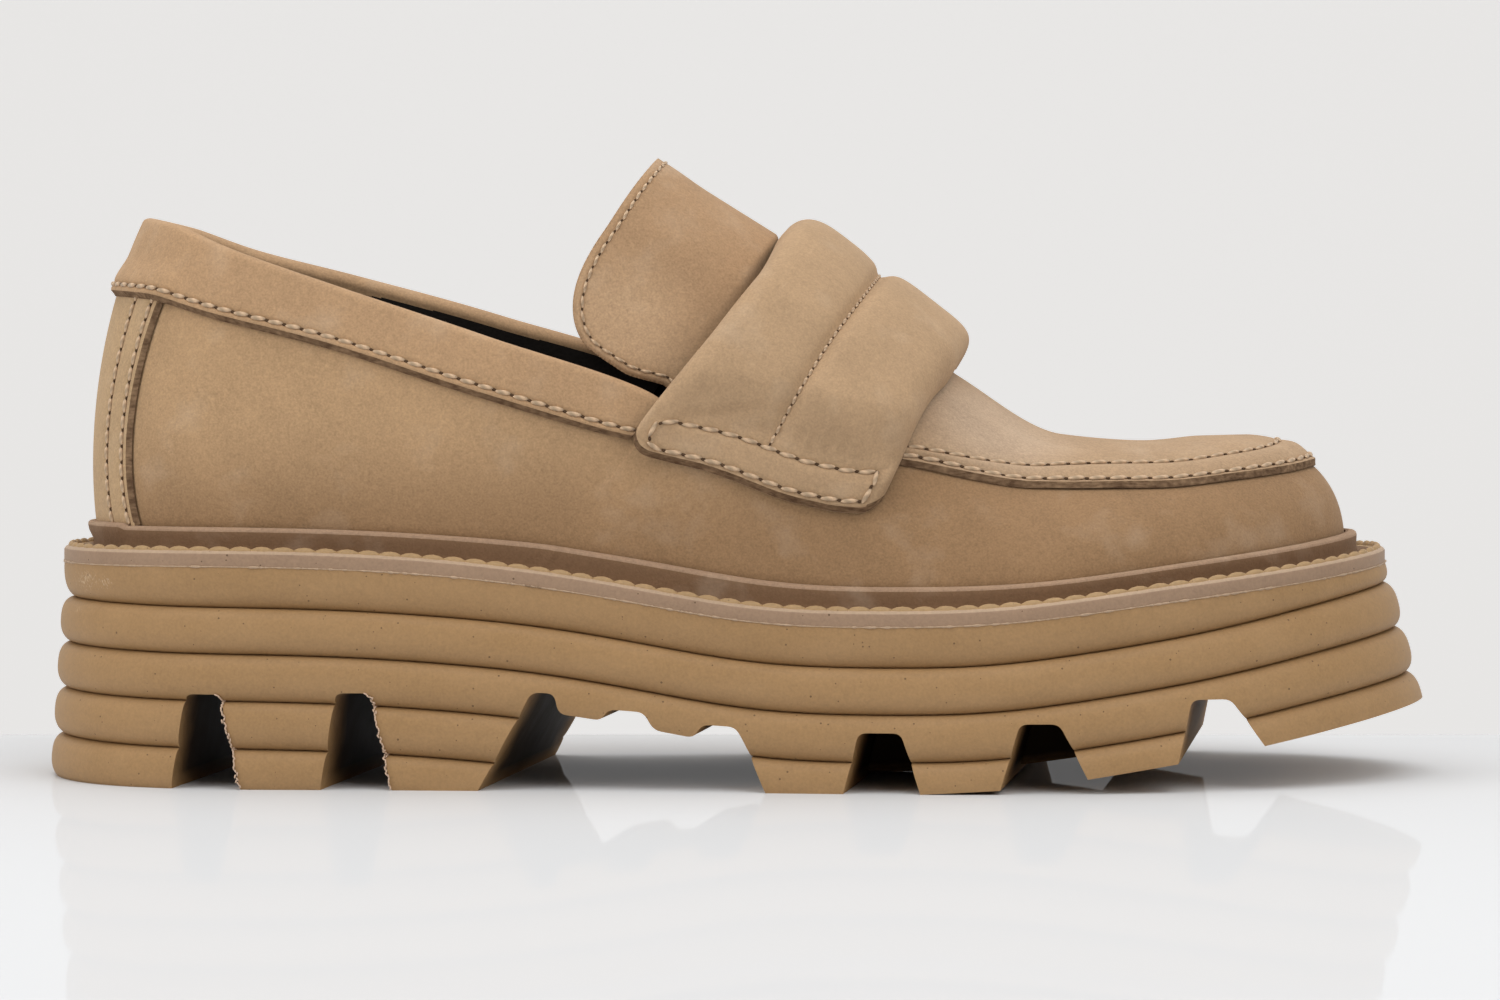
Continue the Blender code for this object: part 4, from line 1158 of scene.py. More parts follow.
def apron_lift(distance, roll):
    """Outer face of the apron: a padded roll between its two rows."""
    return (
        cut_lift(distance, APRON_THICK)
        + groove(distance, (APRON_ROW, roll))
        + ROLL_RISE * dip(distance, (APRON_ROW + roll) / 2, (roll - APRON_ROW) / ROLL_SLIM)
        + APRON_CROWN[0] * smooth((distance - roll) / APRON_CROWN[1])
    )


def build_apron(leather, cut):
    ring = Ring("apron")
    lines = ring.span("mid_strap")
    places = ring.loop[lines]
    t = distance_rows(places, t_of_line(places), np.ones(len(lines)), APRON_NEAR, APRON_STEPS)
    number, pairs = ring.numbers(lines, t.shape[1])
    away = row_distances(places, t)
    base = surface(along_rows(places, t.shape[1]), t)
    lift = apron_lift(away, apron_roll(places)[:, None]) + crease_lift(base)
    outer = sheet_points(places, t, lift, pairs)
    inner = sheet_points(places, t, GAP, pairs)
    slots = edge_slots(away)
    return panel("apron_leather", outer, inner, [leather, cut], slots, number=number, sharp=SHARP["panel"])


def edge_row(places, distance, lift):
    """Path of a stitch row at a distance above the line where the panels are cut."""
    distance = distance * np.ones(len(places))
    reach = even(ROW_SAMPLES) * distance.max()
    t = distance_rows(places, t_of_line(places), np.ones(len(places)), reach, 1)[:, :-1]
    t = np.array([np.interp(wanted, reach, row) for wanted, row in zip(distance, t)])
    return lifted(places, t, lift), normal(places, t)


def apron_rows():
    ring = Ring("apron")
    places = ring.loop[ring.span("strap_front")]
    roll = apron_roll(places)
    paths = []
    for row in (APRON_ROW * np.ones(len(places)), roll):
        paths.append(edge_row(places, row, apron_lift(row, roll)))
    return paths


# Collar band: its lap over the heel strip, the rows and reach of its tan turn inside the shoe.
BAND_LAP = 1.1
BAND_PUFF = 0.2
TURN_ROWS = 40
TAN_TURN = ([0.0, 0.12, 0.17, 0.2, 0.22, 0.33], [8.0, 5.0, 3.2, 1.8, 0.8, 0.3])
FOLD_STEPS = 10


def from_heel(places):
    """Distance of each place from the back of the heel, either way round."""
    return np.abs(np.where(places > 1.0, places - 2.0, places))


def band_lift(distance, places):
    """Outer face of the band: it rises where it laps over the heel strip."""
    lap = 1 - smooth((from_heel(places) - strip_reach(1.0)) / 0.012)
    over = BAND_LAP * lap * (1 - smooth((distance - 3.0) / 6.0))
    puff = BAND_PUFF * dip(distance, 1.5, 0.5)
    return cut_lift(distance, BAND) + groove(distance, (BAND_ROW,)) + puff + over


def band_places():
    ring = Ring("band")
    return ring.loop[ring.heel_span("collar_end")]


def build_band(leather, cut, inside):
    places = band_places()
    edge = np.ones(len(places))
    line = t_of_line(places)
    leaf = distance_rows(places, line, edge, BAND_NEAR, BAND_STEPS)
    away = row_distances(places, leaf)
    inner_from = 1 - (1 - line) * BAND_TURN_IN / away[:, -1]
    share = even(TURN_ROWS + 1)
    turn = inner_from[:, None] * (1 - share) + share
    up = unit(surface(places, edge) - surface(places, edge * T_ENDS[1]))

    def sheet(heights, lift):
        return lifted(along_rows(places, heights.shape[1]), heights, lift)

    def over(lift, rise):
        return (lifted(places, edge, lift) + up * rise)[:, None]

    outer_lift = GAP + BAND
    inner_lift = -WALL - GAP - BAND
    middle = (outer_lift + inner_lift) / 2
    half = (outer_lift - inner_lift) / 2
    fold = [
        over(middle + half * math.cos(angle), outer_lift * math.sin(angle))
        for angle in np.linspace(0.0, math.pi, FOLD_STEPS + 1)[1:-1]
    ]
    base = surface(along_rows(places, leaf.shape[1]), leaf)
    sections = np.concatenate(
        [
            sheet(leaf, band_lift(away, places[:, None]) + crease_lift(base)),
            *fold,
            sheet(turn[:, ::-1], inner_lift),
            sheet(turn, -WALL - GAP),
            over(-WALL - GAP, GAP),
            over(GAP, GAP),
            sheet(leaf[:, ::-1], GAP),
        ],
        axis=1,
    )
    faces, columns = sweep(sections, False)
    bevel_columns = set(range(int(np.sum(BAND_NEAR < BEVEL)))) | {-1, sections.shape[1] - 1}
    turned = leaf.shape[1] + len(fold)
    lined_to = turned + 2 * turn.shape[1] + 2
    side = np.minimum(places, 2 - places)
    tan_rows = np.interp(side, *TAN_TURN) / BAND_TURN_IN * TURN_ROWS
    slots = []
    for number, column in enumerate(columns):
        tan_to = turned + tan_rows[min(number // sections.shape[1], len(places) - 1)]
        lined = tan_to <= column < lined_to
        slots.append(1 if column in bevel_columns else 2 if lined else 0)
    materials = [leather, cut, inside]
    return make_piece("collar_band_leather", sections, faces, materials, slots, SHARP["panel"])


def band_rows():
    places = band_places()
    return [edge_row(places, BAND_ROW, band_lift(BAND_ROW, places))]


# Heel strip: its tuck under the band, slant of its cut sides, waist and flare, lines and rows of points.
STRIP_TUCK = 2.2
STRIP_BEVEL = 0.8
STRIP_WAIST = 1.05
STRIP_FLARE = 0.16
STRIP_COUNT = (121, 60)


def strip_reach(up):
    """Half width of the heel strip, as a place round the shoe: it flares to its foot and to its top."""
    return PLACE["heel_corner"] * (STRIP_WAIST + STRIP_FLARE * (2 * np.asarray(up) - 1) ** 2)


def strip_grid():
    """Places, heights and distances from the cut sides of the heel strip."""
    up = even(STRIP_COUNT[1])
    share = np.sin(np.linspace(-1.0, 1.0, STRIP_COUNT[0]) * math.pi / 2)
    q = share[:, None] * strip_reach(up)
    low = t_at_height(q, SEAT_Z(FOOT_X(q)) + LIP_HEIGHT + 0.1)
    top = t_at_height(q, SEAT_HEIGHT + LINE(q) * HEEL_HEIGHT + STRIP_TUCK)
    t = low * (1 - up) + top * up
    run = lengths(np.swapaxes(surface(q, t), 0, 1)).T
    away = np.minimum(run, run[-1] - run)
    return q, t, run, away


def strip_lift(distance):
    return cut_lift(distance, STRIP_THICK, STRIP_BEVEL) + groove(distance, STRIP_ROWS)


def build_heel_strip(leather, cut):
    q, t, _, away = strip_grid()
    outer = lifted(q, t, strip_lift(away))
    inner = lifted(q, t, GAP)
    slots = edge_slots(away, STRIP_BEVEL)
    return panel("heel_strip_leather", outer, inner, [leather, cut], slots, sharp=SHARP["panel"])


def strip_rows():
    q, t, run, _ = strip_grid()
    paths = []
    for row in STRIP_ROWS:
        for wanted in (np.full(t.shape[1], row), run[-1] - row):
            at = [[np.interp(*spot) for spot in zip(wanted, run.T, grid.T)] for grid in (q, t)]
            places, heights = np.array(at)
            paths.append((lifted(places, heights, strip_lift(row)), normal(places, heights)))
    return paths


# Thickness of the strap: flat tab, padded channels, seam between them and rolled edges.
STRAP_SKIN = 2.0
STRAP_PAD = 6.0
STRAP_PAD_RUN = (7.6, 20.0)
STRAP_SEAM = 2.2
STRAP_SEAM_WIDTH = 1.2
STRAP_SEAM_AT = (0.485, 0.405)
STRAP_ROLLS = (9.0, 13.0)
STRAP_SOFT = 3.0
STRAP_FRONT_PAD = 0.1
STRAP_CROWN = 2.8
STRAP_CROWN_FROM = 0.55
STRAP_HEEL = 1.4
STRAP_HEEL_TO = 0.35
STRAP_TUCK = 1.9
STRAP_TUCK_FROM = (0.65, 0.3)
STRAP_WAIST = 0.055
STRAP_BEHIND = 5.9
TAB_ROLL = 1.4
TAB_CORNERS = (4.7, 3.0)
TAB_BOW = (2.1, 0.9)
STRAP_COUNT = (110, 96)


def ridge_axes():
    """Directions up along the instep's ridge and square to it."""
    along = np.array([-math.cos(RIDGE_PITCH), 0.0, math.sin(RIDGE_PITCH)])
    square = np.array([math.sin(RIDGE_PITCH), 0.0, math.cos(RIDGE_PITCH)])
    return along, square


def tab_height(across, width):
    """Height of the tab's cut edge: it bows down towards the toe and its corners are rounded."""
    line = STRAP_TAB_Z[0] + (STRAP_TAB_Z[1] - STRAP_TAB_Z[0]) * across
    bow = TAB_BOW[0] * smooth((across - 0.25) / 0.45) - TAB_BOW[1] * smooth((across - 0.8) / 0.2)
    corner = np.zeros(len(across))
    for radius, edge in zip(TAB_CORNERS, (across * width, (1 - across) * width)):
        inset = np.clip(radius - edge, 0.0, radius)
        corner = corner + radius - np.sqrt(radius**2 - inset**2)
    return line - bow + corner


def strap_half(side, across, climb):
    """Places, heights, distances and carriage of one half of the strap, from its tab to the ridge."""
    back, front = PLACE["strap_back"], PLACE["strap_front"]
    along, _ = ridge_axes()
    seat = np.linalg.norm(surface(front, 1.0) - surface(back, 1.0))
    width = seat + STRAP_BEHIND
    share = np.clip((across * width - STRAP_BEHIND) / seat, 0.0, 1.0)
    behind = np.clip(STRAP_BEHIND - across * width, 0.0, None)
    flare = STRAP_TAB_FLARE * (1 - climb) ** 2 - STRAP_WAIST * np.sin(math.pi * climb) ** 2
    flare = flare * across[:, None]
    spread = back + (front - back) * (share[:, None] + flare)
    spread = spread if side == 1 else 2 - spread
    edge = np.minimum(across, 1 - across) * width
    foot = t_at_height(spread[:, 0], tab_height(across, width) - behind * along[2])
    t = foot[:, None] * (1 - climb) + climb
    crown = smooth((climb - STRAP_CROWN_FROM) / (1 - STRAP_CROWN_FROM))
    ends = STRAP_CROWN * crown + STRAP_HEEL * smooth(1 - climb / STRAP_HEEL_TO)
    tuck = np.clip(1 - (1 - across) * width / STRAP_ROLLS[1], 0.0, 1.0)[:, None] ** 3
    tuck = STRAP_TUCK * tuck * smooth((climb - STRAP_TUCK_FROM[0]) / STRAP_TUCK_FROM[1])
    shift = (behind[:, None] + ends * (1 - across[:, None]) ** 2 + tuck)[..., None] * along
    run = lengths(surface(spread, t))
    raised = np.maximum(climb / STRAP_TAB_CLIMB, 1 - across[:, None] / STRAP_TAB_BACK)
    under = STRAP_TAB_LIFT + (STRAP_LIFT - STRAP_TAB_LIFT) * np.clip(raised, 0.0, 1.0)
    return spread, t, run, edge[:, None] + np.zeros(t.shape), under, shift, width


def seam_share(run):
    """Where the seam between the channels lies, as a share of the strap's width, by the climb so far."""
    return STRAP_SEAM_AT[0] + (STRAP_SEAM_AT[1] - STRAP_SEAM_AT[0]) * run / run[..., -1:]


def strap_thickness(across, width, run, edge):
    """Thickness of the strap over its seat, by distance up from the tab's cut edge and in from its sides."""
    pad = smooth((run - STRAP_PAD_RUN[0]) / (STRAP_PAD_RUN[1] - STRAP_PAD_RUN[0]))
    front = smooth((across - STRAP_SEAM_AT[1]) / 0.08)[:, None]
    full = STRAP_SKIN + STRAP_PAD * pad * (1 + STRAP_FRONT_PAD * front)
    wanted = np.where(across < 0.5, *STRAP_ROLLS)[:, None]
    roll = TAB_ROLL + (wanted - TAB_ROLL) * pad
    side = np.clip(1 - edge / roll, 0.0, 1.0)
    rounded = np.clip(1 - side**STRAP_SOFT, 0.003, 1.0) ** (1 / STRAP_SOFT)
    from_seam = (across[:, None] - seam_share(run)) * width
    depth = smooth((run - TAB_ROWS[1] + 1.0) / 8.0)
    seam = 0.62 * dip(from_seam, 0.0, STRAP_SEAM_WIDTH) + 0.38 * dip(from_seam, 0.0, 3.4)
    cut = np.clip(run / BEVEL, EDGE_LEFT, 1.0)
    sewn = groove(run, (TAB_ROWS[1],)) * smooth((edge - 0.8) / 1.5) * 1.3
    sewn = sewn + groove(run, (TAB_ROWS[0],)) * smooth((edge - 1.2) / 1.5)
    return full * rounded * cut - STRAP_SEAM * depth * seam + np.where(run < 14.0, sewn, 0.0)


# Soft folds that the tab pulls into the padding: lines in the side view, as for the upper.
STRAP_CREASES = table(
    CREASE,
    (-12.0, 72.6, 0.5, 73.9, 0.9, -0.28, -1),
    (-11.0, 74.6, 3.0, 76.2, 1.5, 0.25, -1),
    (-5.0, 71.2, 9.0, 70.0, 0.9, -0.24, -1),
    (-1.0, 72.6, 11.0, 71.4, 1.3, 0.18, -1),
    (-10.0, 79.0, 4.0, 83.0, 3.0, -0.2, -1),
    (-10.0, 74.0, 3.0, 75.4, 1.1, -0.26, 1),
    (-4.0, 72.0, 9.0, 71.0, 1.2, -0.22, 1),
)


def strap_pucker(points, run, edge):
    """Short pull lines that run up from the tab's upper row into the padding."""
    wave = np.sin(points[..., 0] * 2.1 + 0.6 * np.sin(points[..., 2] * 0.9))
    return 0.16 * wave * dip(run, TAB_ROWS[1] + 3.0, 2.4) * smooth((edge - 2.0) / 4.0)


def build_strap(leather, cut, inside):
    share = even(STRAP_COUNT[0])
    across = (1 - np.cos(share * math.pi)) / 4 + share / 2
    climb = even(STRAP_COUNT[1]) ** 1.25
    outers, inners, cuts = [], [], []
    for side in (1, -1):
        spread, t, run, edge, under, shift, width = strap_half(side, across, climb)
        thick = strap_thickness(across, width, run, edge)
        thick = thick + strap_pucker(surface(spread, t), run, edge)
        thick = thick + crease_lift(lifted(spread, t, under + thick) + shift, STRAP_CREASES)
        outers.append(lifted(spread, t, under + thick) + shift)
        inners.append(lifted(spread, t, under) + shift)
        cuts.append(run)
    sheets = []
    for lat, med in (outers, inners):
        ridge = (lat[:, -1:] + med[:, -1:]) / 2
        sheets.append(np.concatenate([lat[:, :-1], ridge, med[:, -2::-1]], axis=1))
    slots = edge_slots(np.concatenate([cuts[0], cuts[1][:, -2::-1]], axis=1))
    materials = [leather, cut, inside]
    return panel("saddle_strap_padded", *sheets, materials, slots, (2, 0), sharp=SHARP["strap"])


def strap_path(side, across_list, run_list):
    """Path over the strap through places given as shares of its width and distances up from its cut edge."""
    across = even(PATH_STEPS + 1)
    climb = even(240)
    spread, t, run, edge, under, shift, width = strap_half(side, across, climb)
    thick = strap_thickness(across, width, run, edge)
    outer = lifted(spread, t, under + thick) + shift
    points = []
    for share, wanted in zip(across_list, run_list):
        low = min(int(share * PATH_STEPS), PATH_STEPS - 1)
        part = share * PATH_STEPS - low
        pair = [points_at(wanted, run[line], outer[line]) for line in (low, low + 1)]
        points.append(pair[0] * (1 - part) + pair[1] * part)
    points = np.array(points)
    middle = outer[PATH_STEPS // 2, -1] - np.array([0.0, 0.0, 60.0])
    ups = (points - middle) * np.array([0.25, 1.0, 0.6])
    return points, unit(ups)


def strap_rows():
    """The stitched outline of each tab: two long sides, a short front and a hook at the back."""
    width = strap_half(1, np.array([0.0, 1.0]), np.array([0.0, 1.0]))[-1]
    low, high = TAB_ROWS
    front = 1 - TAB_SIDE / width
    across = np.linspace(TAB_HOOK[0] / width, front, 50)
    angle = np.linspace(0.0, math.pi, 16)[1:-1]
    hook_share = (TAB_HOOK[0] - (TAB_HOOK[0] - TAB_HOOK[1]) * np.sin(angle) ** 0.7) / width
    hook_run = (low + high) / 2 + (high - low) / 2 * np.cos(angle)
    ends = np.linspace(low, high, 12)
    shares = np.concatenate([across, np.full(10, front), across[::-1], hook_share])
    runs = np.concatenate([np.full(50, low), ends[1:-1], np.full(50, high), hook_run])
    return [strap_path(side, shares, runs) for side in (1, -1)]


def strap_seam_rows():
    """The seam between the channels, from one tab over the ridge to the other."""
    halves = []
    for side in (1, -1):
        across, climb = np.array([0.4, 0.5]), even(90)
        reach = strap_half(side, across, climb)[2][0, -1]
        runs = np.linspace(TAB_ROWS[1] + 0.8, reach, 90)
        halves.append(strap_path(side, seam_share(runs), runs))
    return halves


# Outline of the tongue: round corners at its sides, tilt against the ridge and where it clears the throat.
TONGUE_ROUND = 14.4
TONGUE_ROUND_FROM = 0.65
TONGUE_TILT = 0.066
TONGUE_CLEAR = 5.0
TONGUE_ROLL = 1.3
TONGUE_PULL = 0.6
TONGUE_WAVE = 0.25
TONGUE_COUNT = (181, 100)


def tongue_reach(turn):
    """How far the tongue stands out along the ridge, with a round corner at each side."""
    past = np.clip((np.abs(turn) - TONGUE_ROUND_FROM) / (1 - TONGUE_ROUND_FROM), 0.0, 1.0)
    crown = TONGUE_ROUND * np.sqrt(1 - past**2) - 1.0 * dip(np.abs(turn), 0.7, 0.2)
    return TONGUE_REACH - TONGUE_ROUND + crown


def tongue_wrap(turn, place):
    """Turn round the arch: the tongue widens behind the strap."""
    return turn * (1.032 - 0.045 * smooth((13.0 - place) / 11.0))


def tongue_points(turn, place, deep):
    """Points of the tongue's arch, a depth below its outer face, and the way out there."""
    along, square = ridge_axes()
    start = surface(PLACE["throat_top"], 1.0) * np.array([1.0, 0.0, 1.0])
    angle = turn * math.pi / 2
    rise = smooth(place / TONGUE_CLEAR)
    sink = TONGUE_SINK * (1 - smooth((np.abs(turn) - 0.35) / 0.35))
    level = TONGUE_RISE + TONGUE_TILT * (TONGUE_REACH - place) * rise - sink * (1 - rise)
    slope = np.hypot(TONGUE_DROP * np.sin(angle), TONGUE_HALF_WIDTH * np.cos(angle))
    out_y = TONGUE_DROP * np.sin(angle) / slope
    out_up = TONGUE_HALF_WIDTH * np.cos(angle) / slope
    y = TONGUE_HALF_WIDTH * np.sin(angle) - deep * out_y
    fall = TONGUE_DROP * (1 - np.cos(angle)) + deep * out_up
    points = place[..., None] * along + (level - fall)[..., None] * square + start
    points[..., 1] += y + TONGUE_MIDDLE_Y
    way = out_up[..., None] * square
    way[..., 1] += out_y
    return points, way


def tongue_turns():
    """Lines of the tongue's grid, close together at its sides."""
    turn = np.linspace(-1.0, 1.0, TONGUE_COUNT[0])
    return np.sign(turn) * (1 - (1 - np.abs(turn)) ** 2)


def tongue_outline(inset):
    """The tongue's edge moved in by a distance: turn round the arch and place along it."""
    turn = tongue_turns()
    wide = np.linspace(-1.1, 1.1, 221)
    arch, _ = tongue_points(wide, np.zeros(len(wide)), 0.0)
    run = lengths(arch)
    side = np.linspace(2.0, float(tongue_reach(np.array(1.0))), 40)[:-1]
    place = np.concatenate([side, tongue_reach(turn), side[::-1]])
    around = tongue_wrap(np.concatenate([np.full(39, -1.0), turn, np.full(39, 1.0)]), place)
    across = np.interp(around, wide, run)
    step_across, step_place = np.gradient(across), np.gradient(place)
    size = np.hypot(step_across, step_place)
    across = across + inset * step_place / size
    place = place - inset * step_across / size
    return np.interp(across, run, wide), place


def build_tongue(leather, inside):
    turn = tongue_turns()
    share = 1 - (1 - even(TONGUE_COUNT[1])) ** 1.6
    reach = tongue_reach(turn)
    place = TONGUE_ROOT + (reach[:, None] - TONGUE_ROOT) * share
    spread = tongue_wrap(turn[:, None], place)
    outer, way = tongue_points(spread, place, 0.0)
    inner, _ = tongue_points(spread, place, TONGUE_THICK)
    edge, _ = tongue_points(*tongue_outline(0.0), 0.0)
    away = np.min(np.linalg.norm(outer[:, :, None] - edge[None, None, ::2], axis=-1), axis=-1)
    roll = np.clip(1 - away / TONGUE_ROLL, 0.0, 1.0)
    lift = TONGUE_PULL * groove(away, (TONGUE_ROW,)) - roll**2
    wave = np.sin(outer[..., 0] * 0.11 + outer[..., 1] * 0.16) * smooth((away - 4.0) / 8.0)
    outer = outer + way * (lift + TONGUE_WAVE * wave)[..., None]
    return panel("tongue_leather", outer, inner, [leather, inside], None, (1, 0), sharp=SHARP["tongue"])


def tongue_rows():
    points, way = tongue_points(*tongue_outline(TONGUE_ROW), 0.0)
    return [(points - way * GROOVE * TONGUE_PULL, way)]


def ring_at(places, out, rise):
    """Points round the shoe at a distance out from the feather line and a rise above the seat."""
    nx, ny = outward(places)
    x = FOOT_X(places) + nx * out
    y = FOOT_Y(places) + ny * out
    return np.stack([x, y, SEAT_Z(x) + rise], -1)


# Sock over the insole: fall and reach of its rim, and the hollow for the foot.
SOCK_RIM = (0.6, 0.08)
SOCK_HOLLOW = 0.5


def build_insole(inside):
    ring = Ring("insole")
    half = len(ring.side)
    low = ring_at(ring.loop, -INSOLE_INSET, SEAT_GAP)
    lat = low[:half]
    med = low[[ring.partner(i) for i in range(half)]]
    share = even(INSOLE_ROWS)
    flat = lat[:, None] * (1 - share)[:, None] + med[:, None] * share[:, None]
    rim = SOCK_RIM[0] * (1 - smooth(np.minimum(share, 1 - share) / SOCK_RIM[1]))
    top = flat.copy()
    top[..., 2] += INSOLE_THICK - rim - SOCK_HOLLOW * np.sin(share * math.pi) ** 2
    number = np.arange(half * INSOLE_ROWS).reshape(half, INSOLE_ROWS)
    number[0] = number[0, 0]
    number[-1] = number[-1, 0]
    return panel("insole_sock", top, flat, [inside], None, (0, 0), number)


# Parts of the welt, in the order of its materials.
STRIP, BEAD, LIP, BROW, LIP_EDGE = range(5)
LIP_OUT = GAP + LIP_THICK
# Section of the welt: what the point is measured from, how far out of it and how high it lies.
WELT_SECTION = table(
    "against out rise part",
    ("upper", GAP, SEAT_GAP + 0.05, STRIP),
    ("edge", -0.6, 0.02, STRIP),
    ("edge", 0.02, 0.02, STRIP),
    ("edge", 0.04, 0.6, STRIP),
    ("edge", 0.04, 2.4, STRIP),
    ("edge", -0.06, 2.62, BROW),
    ("edge", -0.35, 2.95, BROW),
    ("edge", -0.8, 3.18, BROW),
    ("edge", -1.2, 3.22, BEAD),
    ("edge", -3.0, 3.1, LIP),
    ("upper", LIP_OUT + 0.5, 2.7, LIP),
    ("upper", LIP_OUT + 0.1, 3.3, LIP),
    ("upper", LIP_OUT - 0.1, 4.4, LIP),
    ("upper", LIP_OUT - 0.1, 5.6, LIP),
    ("upper", LIP_OUT, 6.75, LIP_EDGE),
    ("upper", LIP_OUT - 0.12, 7.2, LIP_EDGE),
    ("upper", LIP_OUT - 0.5, 7.5, LIP_EDGE),
    ("upper", GAP + 0.6, LIP_HEIGHT, LIP),
    ("upper", GAP, 7.45, LIP),
    ("upper", GAP, 4.7, LIP),
)
HEEL_LAP = 0.55
HEEL_LAP_FROM = 5.0


def heel_lap(places):
    """Where the lip is doubled round the heel, with a step at the end of the lap."""
    return 1 - smooth((from_heel(places) - PLACE["heel_corner"] * 1.04) / 0.003)


def build_welt(*materials):
    places = Ring("welt").loop
    seat = SEAT_Z(FOOT_X(places))
    flat = np.stack([*outward(places), np.zeros(len(places))], -1)
    lap = HEEL_LAP * heel_lap(places)
    rows = []
    for point in WELT_SECTION:
        if point.against == "edge":
            rows.append(ring_at(places, MARGIN(places) + point.out, point.rise))
        else:
            extra = lap * (point.rise > HEEL_LAP_FROM and point.out > GAP)
            t = t_at_height(places, seat + point.rise + extra)
            rows.append(surface(places, t) + flat * (point.out + extra)[:, None])
    sections = np.stack(rows, axis=1)
    faces, columns = sweep(sections, True)
    slots = [WELT_SECTION[column].part for column in columns]
    return make_piece("welt_strip", sections, faces, materials, slots, SHARP["welt"])


def bead_path():
    places = Ring("bead").loop
    points = ring_at(places, MARGIN(places) - BEAD_SET_BACK - 0.4, STRIP_HEIGHT - 0.5)
    return [(points, np.tile([0.0, 0.0, 1.0], (len(points), 1)))]


# Rough line of rubber squeezed out where the strip meets the sole: its size and the seed of its breaks.
FLASH = (0.32, 0.22)
FLASH_SEED = 7


def build_flash(pale):
    """A thin ragged bead round the joint of strip and sole."""
    places = Ring("flash").loop
    count = len(places)
    draw = np.random.default_rng(FLASH_SEED)
    breaks = np.convolve(np.tile(draw.normal(size=count), 3), np.ones(3) / 3, "same")
    size = 0.35 + 0.9 * np.clip(np.abs(breaks[count : 2 * count]), 0.0, 1.2)
    rows = []
    for angle in np.linspace(0.0, 2 * math.pi, 7)[:-1]:
        out = MARGIN(places) + FLASH[0] * size * math.cos(angle)
        rows.append(ring_at(places, out, 0.05 + FLASH[1] * size * math.sin(angle)))
    sections = np.stack(rows, axis=1)
    return make_piece("sole_flash_line", sections, sweep(sections, True)[0], [pale])


# Side of the outsole.
RIB_BULGE = 3.3
RIB_SQUARE = (2.8, 2.2)
# Painted shade on each rib's underside: how far above the rib's foot it starts and over what depth it comes
# in (mm).
RIB_SHADE = (2.0, 1.1)
# How far the ribs sag below the seat line's run: places along the shoe and drops.
RIB_SAG = (
    [-140, -129, -118, -100, -60, -40, 0, 40, 82, 94, 106, 118, 140],
    [0.2, 0.4, 1.0, 1.2, 1.25, 0.95, 1.0, 1.15, 1.2, 0.8, 0.0, -0.75, -0.9],
)
SAG_BLEND = (-9, -6, -3, 0, 3, 6, 9)
RIB_STEPS = 18
NOTCH_ROUND = (1.5, 4)


def rib_rows():
    """Depth below the seat, share of the bulge and share of painted shade for every row of the sole's side.
    """
    turn = (1 - np.cos(np.linspace(0.0, math.pi, RIB_STEPS + 1))) / 2
    square = np.where(turn < 0.5, *RIB_SQUARE)
    bulge = np.clip(1 - np.abs(2 * turn - 1) ** square, 0.0, 1.0) ** (1 / square)
    rows = []
    for top, foot in zip((-RIB_EDGES[0], *RIB_EDGES), RIB_EDGES):
        depth = top + (foot - top) * turn
        soil = smooth((RIB_SHADE[0] - foot + depth) / RIB_SHADE[1])
        rows.extend(list(zip(depth, bulge, soil))[1 if rows else RIB_STEPS // 2 :])
    rows.append((SOLE_DEPTH, 0.0, 0.0))
    return rows


def spring(x):
    """Rise of the tread towards the toe."""
    share = max(x - SPRING_START, 0.0) / SPRING_REACH
    return SPRING_RISE * share**SPRING_POWER


def rounded(before, corner, after, radius, steps):
    """A corner of an outline drawn as a short curve."""
    before, corner, after = (np.array(point, float) for point in (before, corner, after))
    reach_in, reach_out = np.linalg.norm(before - corner), np.linalg.norm(after - corner)
    start = corner + (before - corner) * min(radius / reach_in, 0.45)
    end = corner + (after - corner) * min(radius / reach_out, 0.45)
    share = even(steps + 1)[:, None]
    curve = start * (1 - share) ** 2 + corner * 2 * share * (1 - share) + end * share**2
    return [tuple(point) for point in curve]


def notch_corners(notches):
    """Corners of notches, each with whether it is rounded."""
    for notch in notches:
        yield (notch.back_foot, spring(notch.back_foot)), False
        yield (notch.back_top, notch.roof), True
        yield (notch.front_top, notch.roof), True
        yield (notch.front_foot, spring(notch.front_foot)), False


def tread_outline():
    """Underside of the sole along the line near its outer edge, with rounded roofs to its notches."""
    corners = [((-TREAD_REACH, 0.0), False), *notch_corners(HEEL_NOTCHES)]
    corners += [((x, z), z > 0.0) for x, z in zip(*ARCH)]
    corners += notch_corners(BALL_NOTCHES)
    corners += [((x, spring(x)), False) for x in SPRING_POINTS]
    outline = []
    for i, (corner, soft) in enumerate(corners):
        if soft:
            outline += rounded(corners[i - 1][0], corner, corners[i + 1][0], *NOTCH_ROUND)
        else:
            outline.append(corner)
    return outline


def build_tread_cutter(material):
    outline = tread_outline() + [(TREAD_REACH, -TREAD_BELOW), (-TREAD_REACH, -TREAD_BELOW)]
    count = len(outline)
    points = []
    for y in (-TREAD_HALF_WIDTH, TREAD_HALF_WIDTH):
        shift = (y - TREAD_EDGE_Y) * math.tan(TREAD_SLANT)
        points += [(x + shift, y, z) for x, z in outline]
    faces = [tuple(range(count)), tuple(reversed(range(count, 2 * count)))]
    faces += [(i, (i + 1) % count, count + (i + 1) % count, count + i) for i in range(count)]
    return make_piece("tread_cutter", points, faces, [material])


